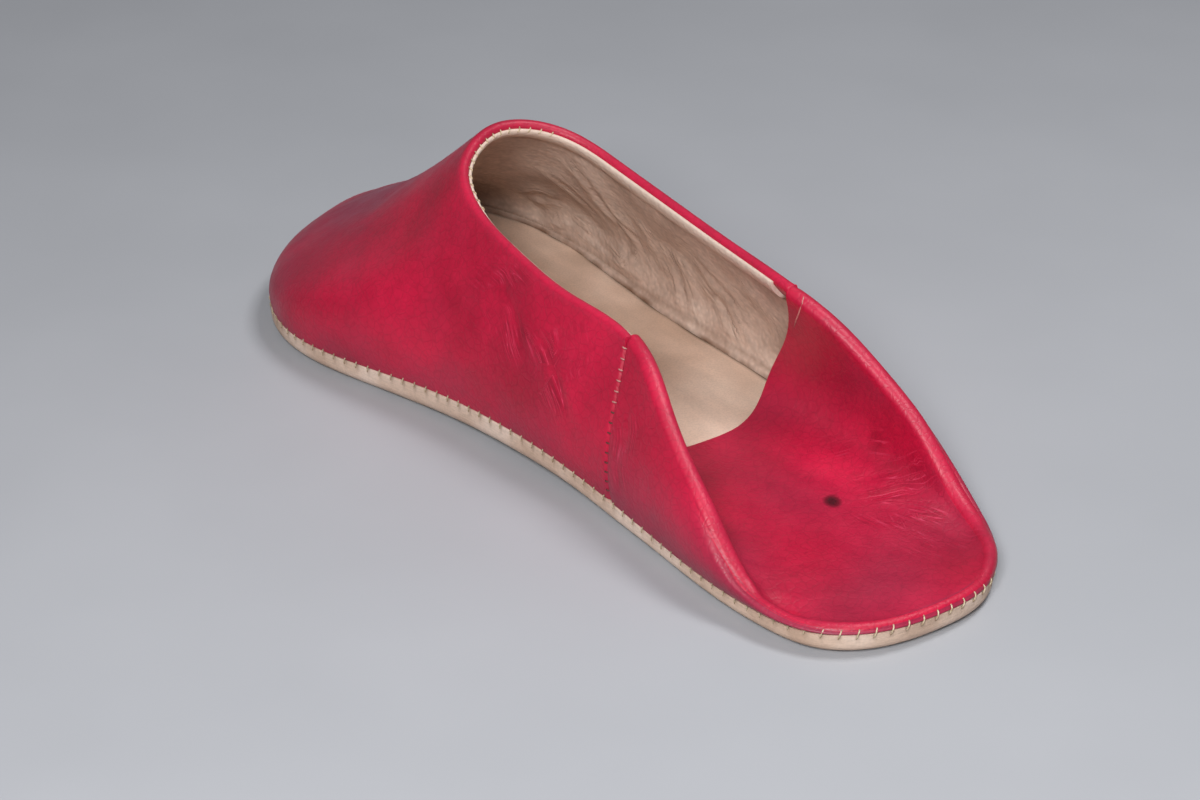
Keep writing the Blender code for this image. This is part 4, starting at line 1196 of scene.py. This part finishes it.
# The sole's profile is carried round its outline: a quarter circle up from the floor, a wall
# that each stitch dents more the higher it is, the seam's edge, and down again inside
def makeSole():
    s = soleForm
    foot, out = atSole(loopPlaces(s["around"]))
    rise = seamHeight(foot[:, 1])
    run = runOf(foot)
    phase = run / run[-1] * round(run[-1] / s["stitchStep"])
    pull = np.exp(-((np.abs(phase - np.round(phase)) / 0.13) ** 2))
    wobble = s["wobble"] * waviness(atHeight(foot, 0), s["wobbleSize"], 51)
    low = s["edgeRound"] * (rise / slipper["edgeHeight"])

    # inset, height, dent by the stitches, share of the wobble
    profile = []
    for angle in np.radians(np.linspace(0, 90, 9)):
        inset = s["edgeRound"] * (1 - math.sin(angle))
        profile.append((inset, low * (1 - math.cos(angle)), 0.0, 0.4 * math.sin(angle)))
    for t in np.linspace(0.15, 0.92, 7):
        profile.append((0.0, low + (rise - low) * t, t**1.5, 0.4))
    profile += [
        (0.25, rise - 0.05, 1.0, 0.3), (0.7, rise, 0.8, 0.0), (s["edgeWall"], rise, 0.0, 0.0),
        (s["edgeWall"] + 0.3, slipper["soleThickness"], 0.0, 0.0),
    ]
    rings = []
    for inset, height, dent, sway in profile:
        inwards = inset + s["stitchDent"] * dent * pull + wobble * sway
        rings.append(atHeight(foot, height) - out * inwards[:, None])
    vertices, faces = ringSolid(rings, s["columns"])

    # the UV map is in mm: along the edge and up it, and plain x and y across the flat sides
    count = len(rings) * len(foot)
    height = vertices[:count, 2]
    uv = vertices[:, :2].copy()
    uv[:count] = np.column_stack([np.tile(run, len(rings)), height])
    dirtAndShade = np.zeros(len(vertices))
    grime = 0.5 + 0.5 * waviness(vertices[:count], 9, 61)
    dirtAndShade[:count] = np.clip(1 - height / 2.2, 0, 1) * s["floorDirt"] * grime
    up = np.clip((height - np.tile(low, len(rings))) / 2.5, 0, 1)
    dirtAndShade[:count] += np.tile(pull, len(rings)) * up * s["stitchDirt"]
    return makePiece("soleLeather", lifted(vertices), faces, {"dirtAndShade": np.clip(dirtAndShade, 0, 0.8)}, uv)


sole = makeSole()
sole.data.materials.append(soleLeather)
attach(sole, "root")
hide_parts("outsole")


sockForm = {
    "around": 520, "columns": 40, "wave": 0.16, "waveSize": 26,
    # inset from the sole's edge, depth below the sock's top, how much of the edge's dirt it has
    "profile": (
        (3.3, 1.7, 1.0), (3.0, 1.3, 1.0), (3.0, 0.5, 1.0), (3.12, 0.15, 1.0), (3.4, 0.0, 0.9),
        (3.7, 0.0, 0.6), (4.4, 0.0, 0.14), (7.5, 0.0, 0.04), (11.0, 0.0, 0.0),
    ),
}


# The sock's profile is carried round the outline too, and its top swells and sinks a little
def makeSock():
    f = sockForm
    foot, out = atSole(loopPlaces(f["around"]))
    high = slipper["soleThickness"] + slipper["gap"] + slipper["insoleThickness"]
    rings = [atHeight(foot, high - depth) - out * inset for inset, depth, share in f["profile"]]
    vertices, faces = ringSolid(rings, f["columns"])
    inEdge = np.zeros(len(vertices))
    inEdge[: len(rings) * len(foot)] = np.repeat([share for *_, share in f["profile"]], len(foot))
    top = vertices[:, 2] > high - 0.01
    vertices[:, 2] += top * (1 - inEdge) * f["wave"] * waviness(vertices, f["waveSize"], 71)
    dirtAndShade = np.clip(inEdge * (0.65 + 0.5 * waviness(vertices, 12, 73)), 0, 0.9)
    return makePiece("insoleLeather", lifted(vertices), faces, {"dirtAndShade": dirtAndShade})


sock = makeSock()
sock.data.materials.append(sockLeather)
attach(sock, "root")
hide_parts("insole")
print("sole and sock made")


# Stitches

stitchForm = {
    "thread": 0.18, "low": 1.3, "high": 0.9, "stand": 0.28, "slant": 0.9, "steps": 9,
    "heelShare": 0.30, "overRise": 1.3, "overInset": 0.9, "overStand": 0.5,  # round the heel
    "dark": 0.12,
}


# One whip stitch is a parabola that leaves the sole's edge, passes over the seam and dives
# into the upper: start, a handle that pulls it out past the seam, and end.
def makeSeamStitches():
    f = stitchForm
    finePlaces = loopPlaces(soleForm["around"])
    run = runOf(atSole(finePlaces)[0])
    count = int(round(runOf(outline)[-1] / soleForm["stitchStep"]))
    at = np.arange(count) / round(run[-1] / soleForm["stitchStep"]) * run[-1]
    places = np.interp(at, run, finePlaces)
    foot, out = atSole(places)
    along = np.cross(upward, out)
    slant = along * 0.5 * f["slant"]
    rise = seamHeight(foot[:, 1])
    start = atHeight(foot, rise - f["low"]) - out * 0.25 - slant
    seam = atHeight(foot, rise + 0.15) + out * f["stand"]
    wall = ribGrid(places, np.linspace(0, 0.25, 60))
    climbed = np.cumsum(np.linalg.norm(np.diff(wall, axis=1), axis=2), 1)
    pick = ((climbed < f["high"]).sum(1) + 1).clip(1, wall.shape[1] - 1)
    end = wall[np.arange(count), pick] + slant - out * 0.2
    # round the heel the thread goes over the folded edge and into the flap
    atHeel = (np.abs(places - 2) < f["heelShare"])[:, None]
    over = atHeight(foot, rise + f["overRise"]) - out * f["overInset"] + slant
    end = np.where(atHeel, over, end)
    seam = np.where(atHeel, seam + upward * f["overStand"], seam)
    t = np.linspace(0, 1, f["steps"])[None, :, None]
    paths = parabola(t, start[:, None], (2 * seam - 0.5 * (start + end))[:, None], end[:, None])
    points, faces, ends = threads(paths, f["thread"], along)
    # painted shade at both ends of each thread, where it dives into its hole; the sole's stitches
    # are a little grubby besides
    dark = np.tile(ends * 0.9, count) + np.repeat(np.where(atHeel, 0.0, f["dark"]), len(ends))
    return makePiece("soleStitches", lifted(points), faces, {"dirtAndShade": np.clip(dark, 0, 1)})


stitches = makeSeamStitches()
stitches.data.materials.append(threadMaterial)
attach(stitches, "root")


upperStitch = {
    "throat": 17, "from": 3.86, "to": 4.36, "seam": 15, "thread": 0.20, "steps": 7,
    # on the collar's roll: degrees from its outer side, distance from its middle, way aside
    "path": ((166, 2.30, -0.35), (144, 2.75, 0.0), (122, 1.35, 0.35)),
    "paleRow": 0.62, "pale": 0.15, "dark": 0.95, "dye": 0.6,  # down the side seams
    "edgeThread": [
        (-26.5, 46.7, 44.9), (-25.5, 47.6, 44.4), (-24.8, 48.2, 43.5), (-24.4, 48.0, 42.2),
        (-24.8, 46.8, 39.9), (-25.3, 45.4, 37.5), (-26.0, 43.9, 34.7),
    ],
    "offEdge": (0.13, 0.19, 0.12),
}


# Round the throat, short parabolas hold the lining's edge to the collar's roll. Down each side
# seam, whip stitches cross it, pale at the top and pulled in below.
def makeUpperStitches():
    f = upperStitch
    top = ribGrid(np.linspace(f["from"], f["to"], f["throat"]), np.linspace(0.9, 1, 12))
    normal = outwardNormals(top)[:, -1]
    edgeUp = unit(top[:, -1] - top[:, -2])
    along = np.cross(normal, edgeUp)
    centre = top[:, -1] - normal * 1.5
    onRoll = []
    for degrees, radius, aside in f["path"]:
        spoke = spokes(normal, edgeUp, np.radians([degrees]))
        onRoll.append(centre[:, None] + spoke * radius + (along * aside)[:, None])
    collar = parabola(np.linspace(0, 1, f["steps"])[None, :, None], *onRoll)
    runs, darks = [collar], [np.full(len(collar), 0.1)]
    rows = np.linspace(0.97, 0.08, f["seam"])
    share = np.linspace(-1, 1, f["steps"])[None, :, None]
    high = rows > f["paleRow"]
    for seamPlace, outside in ((1.0, 1.0), (3.0, -1.0)):
        line = ribGrid(np.array([seamPlace, seamPlace + 0.01]), rows)[0]
        beside = ribGrid(np.array([seamPlace - 0.008, seamPlace + 0.008]), rows)
        across = unit(beside[1] - beside[0])
        out = unit(np.cross(across, unit(np.gradient(line, axis=0))))
        out = out * np.sign(out[:, :1]) * outside
        stand = np.where(high, 0.20, -0.02)[:, None, None]
        path = line[:, None] + across[:, None] * share * 0.95 + upward * share * 0.35
        runs.append(path + out[:, None] * (stand - 0.45 * share**2))
        darks.append(np.where(high, f["pale"], f["dark"]))
    # where the lining stops at the outer seam, one long thread runs down the quarter's edge
    runs.append((np.array(f["edgeThread"]) + np.array(f["offEdge"]))[None])
    darks.append(np.zeros(1))
    paths = np.concatenate(runs)
    across = np.concatenate([along, np.tile(upward, (len(paths) - len(along), 1))])
    points, faces, ends = threads(paths, f["thread"], across)
    # painted shade at both ends of each thread, and the side seams' stitches drawn dark below
    dark = np.maximum(np.tile(ends * 0.6, len(paths)), np.repeat(np.concatenate(darks), len(ends)))
    dye = np.repeat((np.arange(len(paths)) >= len(collar)) * f["dye"], len(ends))
    return makePiece("collarStitches", lifted(points), faces, {"dirtAndShade": dark, "dye": dye})


collarStitches = makeUpperStitches()
collarStitches.data.materials.append(threadMaterial)
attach(collarStitches, "root")
print("stitches made")


# Room, light and camera

room = {"half": 3.0, "floor": -0.0003, "world": "#D9DBE2", "worldStrength": 0.20}

corners = [(x * room["half"], y * room["half"], room["floor"])
           for x, y in ((-1, -1), (1, -1), (1, 1), (-1, 1))]
floorMesh = bpy.data.meshes.new("floor")
floorMesh.from_pydata(corners, [], [(0, 1, 2, 3)])
floorMesh.materials.append(makePaper())
floor = addObject("floor", floorMesh)

world = bpy.data.worlds.new("studio")
bpy.context.scene.world = world
world.use_nodes = True
background = world.node_tree.nodes["Background"].inputs
background["Color"].default_value = toLinear(room["world"])
background["Strength"].default_value = room["worldStrength"]

# place in metres, aim, size in metres, watts
lights = {
    "overhead": ((-0.26, 0.18, 0.80), (0.0, 0.0, 0.0), 0.26, 3.3),
    "front": ((0.46, 0.50, 0.50), (0.0, 0.05, 0.02), 0.22, 5.7),
    "toe": ((0.25, -0.9, 0.55), (0.0, -0.05, 0.02), 0.6, 0.3),
}
for name, (spot, aim, size, watts) in lights.items():
    data = bpy.data.lights.new(name, "AREA")
    data.energy = watts
    data.size = size
    lamp = addObject(name, data)
    lamp.location = spot
    away = np.array(spot) - np.array(aim)
    azimuth = math.atan2(away[0], -away[1])
    elevation = math.atan2(away[2], math.hypot(away[0], away[1]))
    lamp.rotation_euler = (math.pi / 2 - elevation, 0, azimuth)

bpy.context.scene.view_settings.view_transform = "Standard"

# place in metres, turn in degrees round Z, up from level, and about its own axis; lens in mm
view = {
    "place": (0.3647, 0.5240, 0.3545), "azimuth": 145.0, "elevation": 28.8, "roll": 0.3,
    "lens": 84.0, "sensor": 36.0,
}
cameraData = bpy.data.cameras.new("camera")
cameraData.lens = view["lens"]
cameraData.sensor_width = view["sensor"]
cameraData.clip_start = 0.01
camera = addObject("camera", cameraData)
turned = (
    Matrix.Rotation(math.radians(view["azimuth"]), 4, "Z")
    @ Matrix.Rotation(math.radians(90 - view["elevation"]), 4, "X")
    @ Matrix.Rotation(math.radians(view["roll"]), 4, "Z")
)
camera.matrix_world = Matrix.Translation(view["place"]) @ turned
bpy.context.scene.camera = camera

print("scene ready")
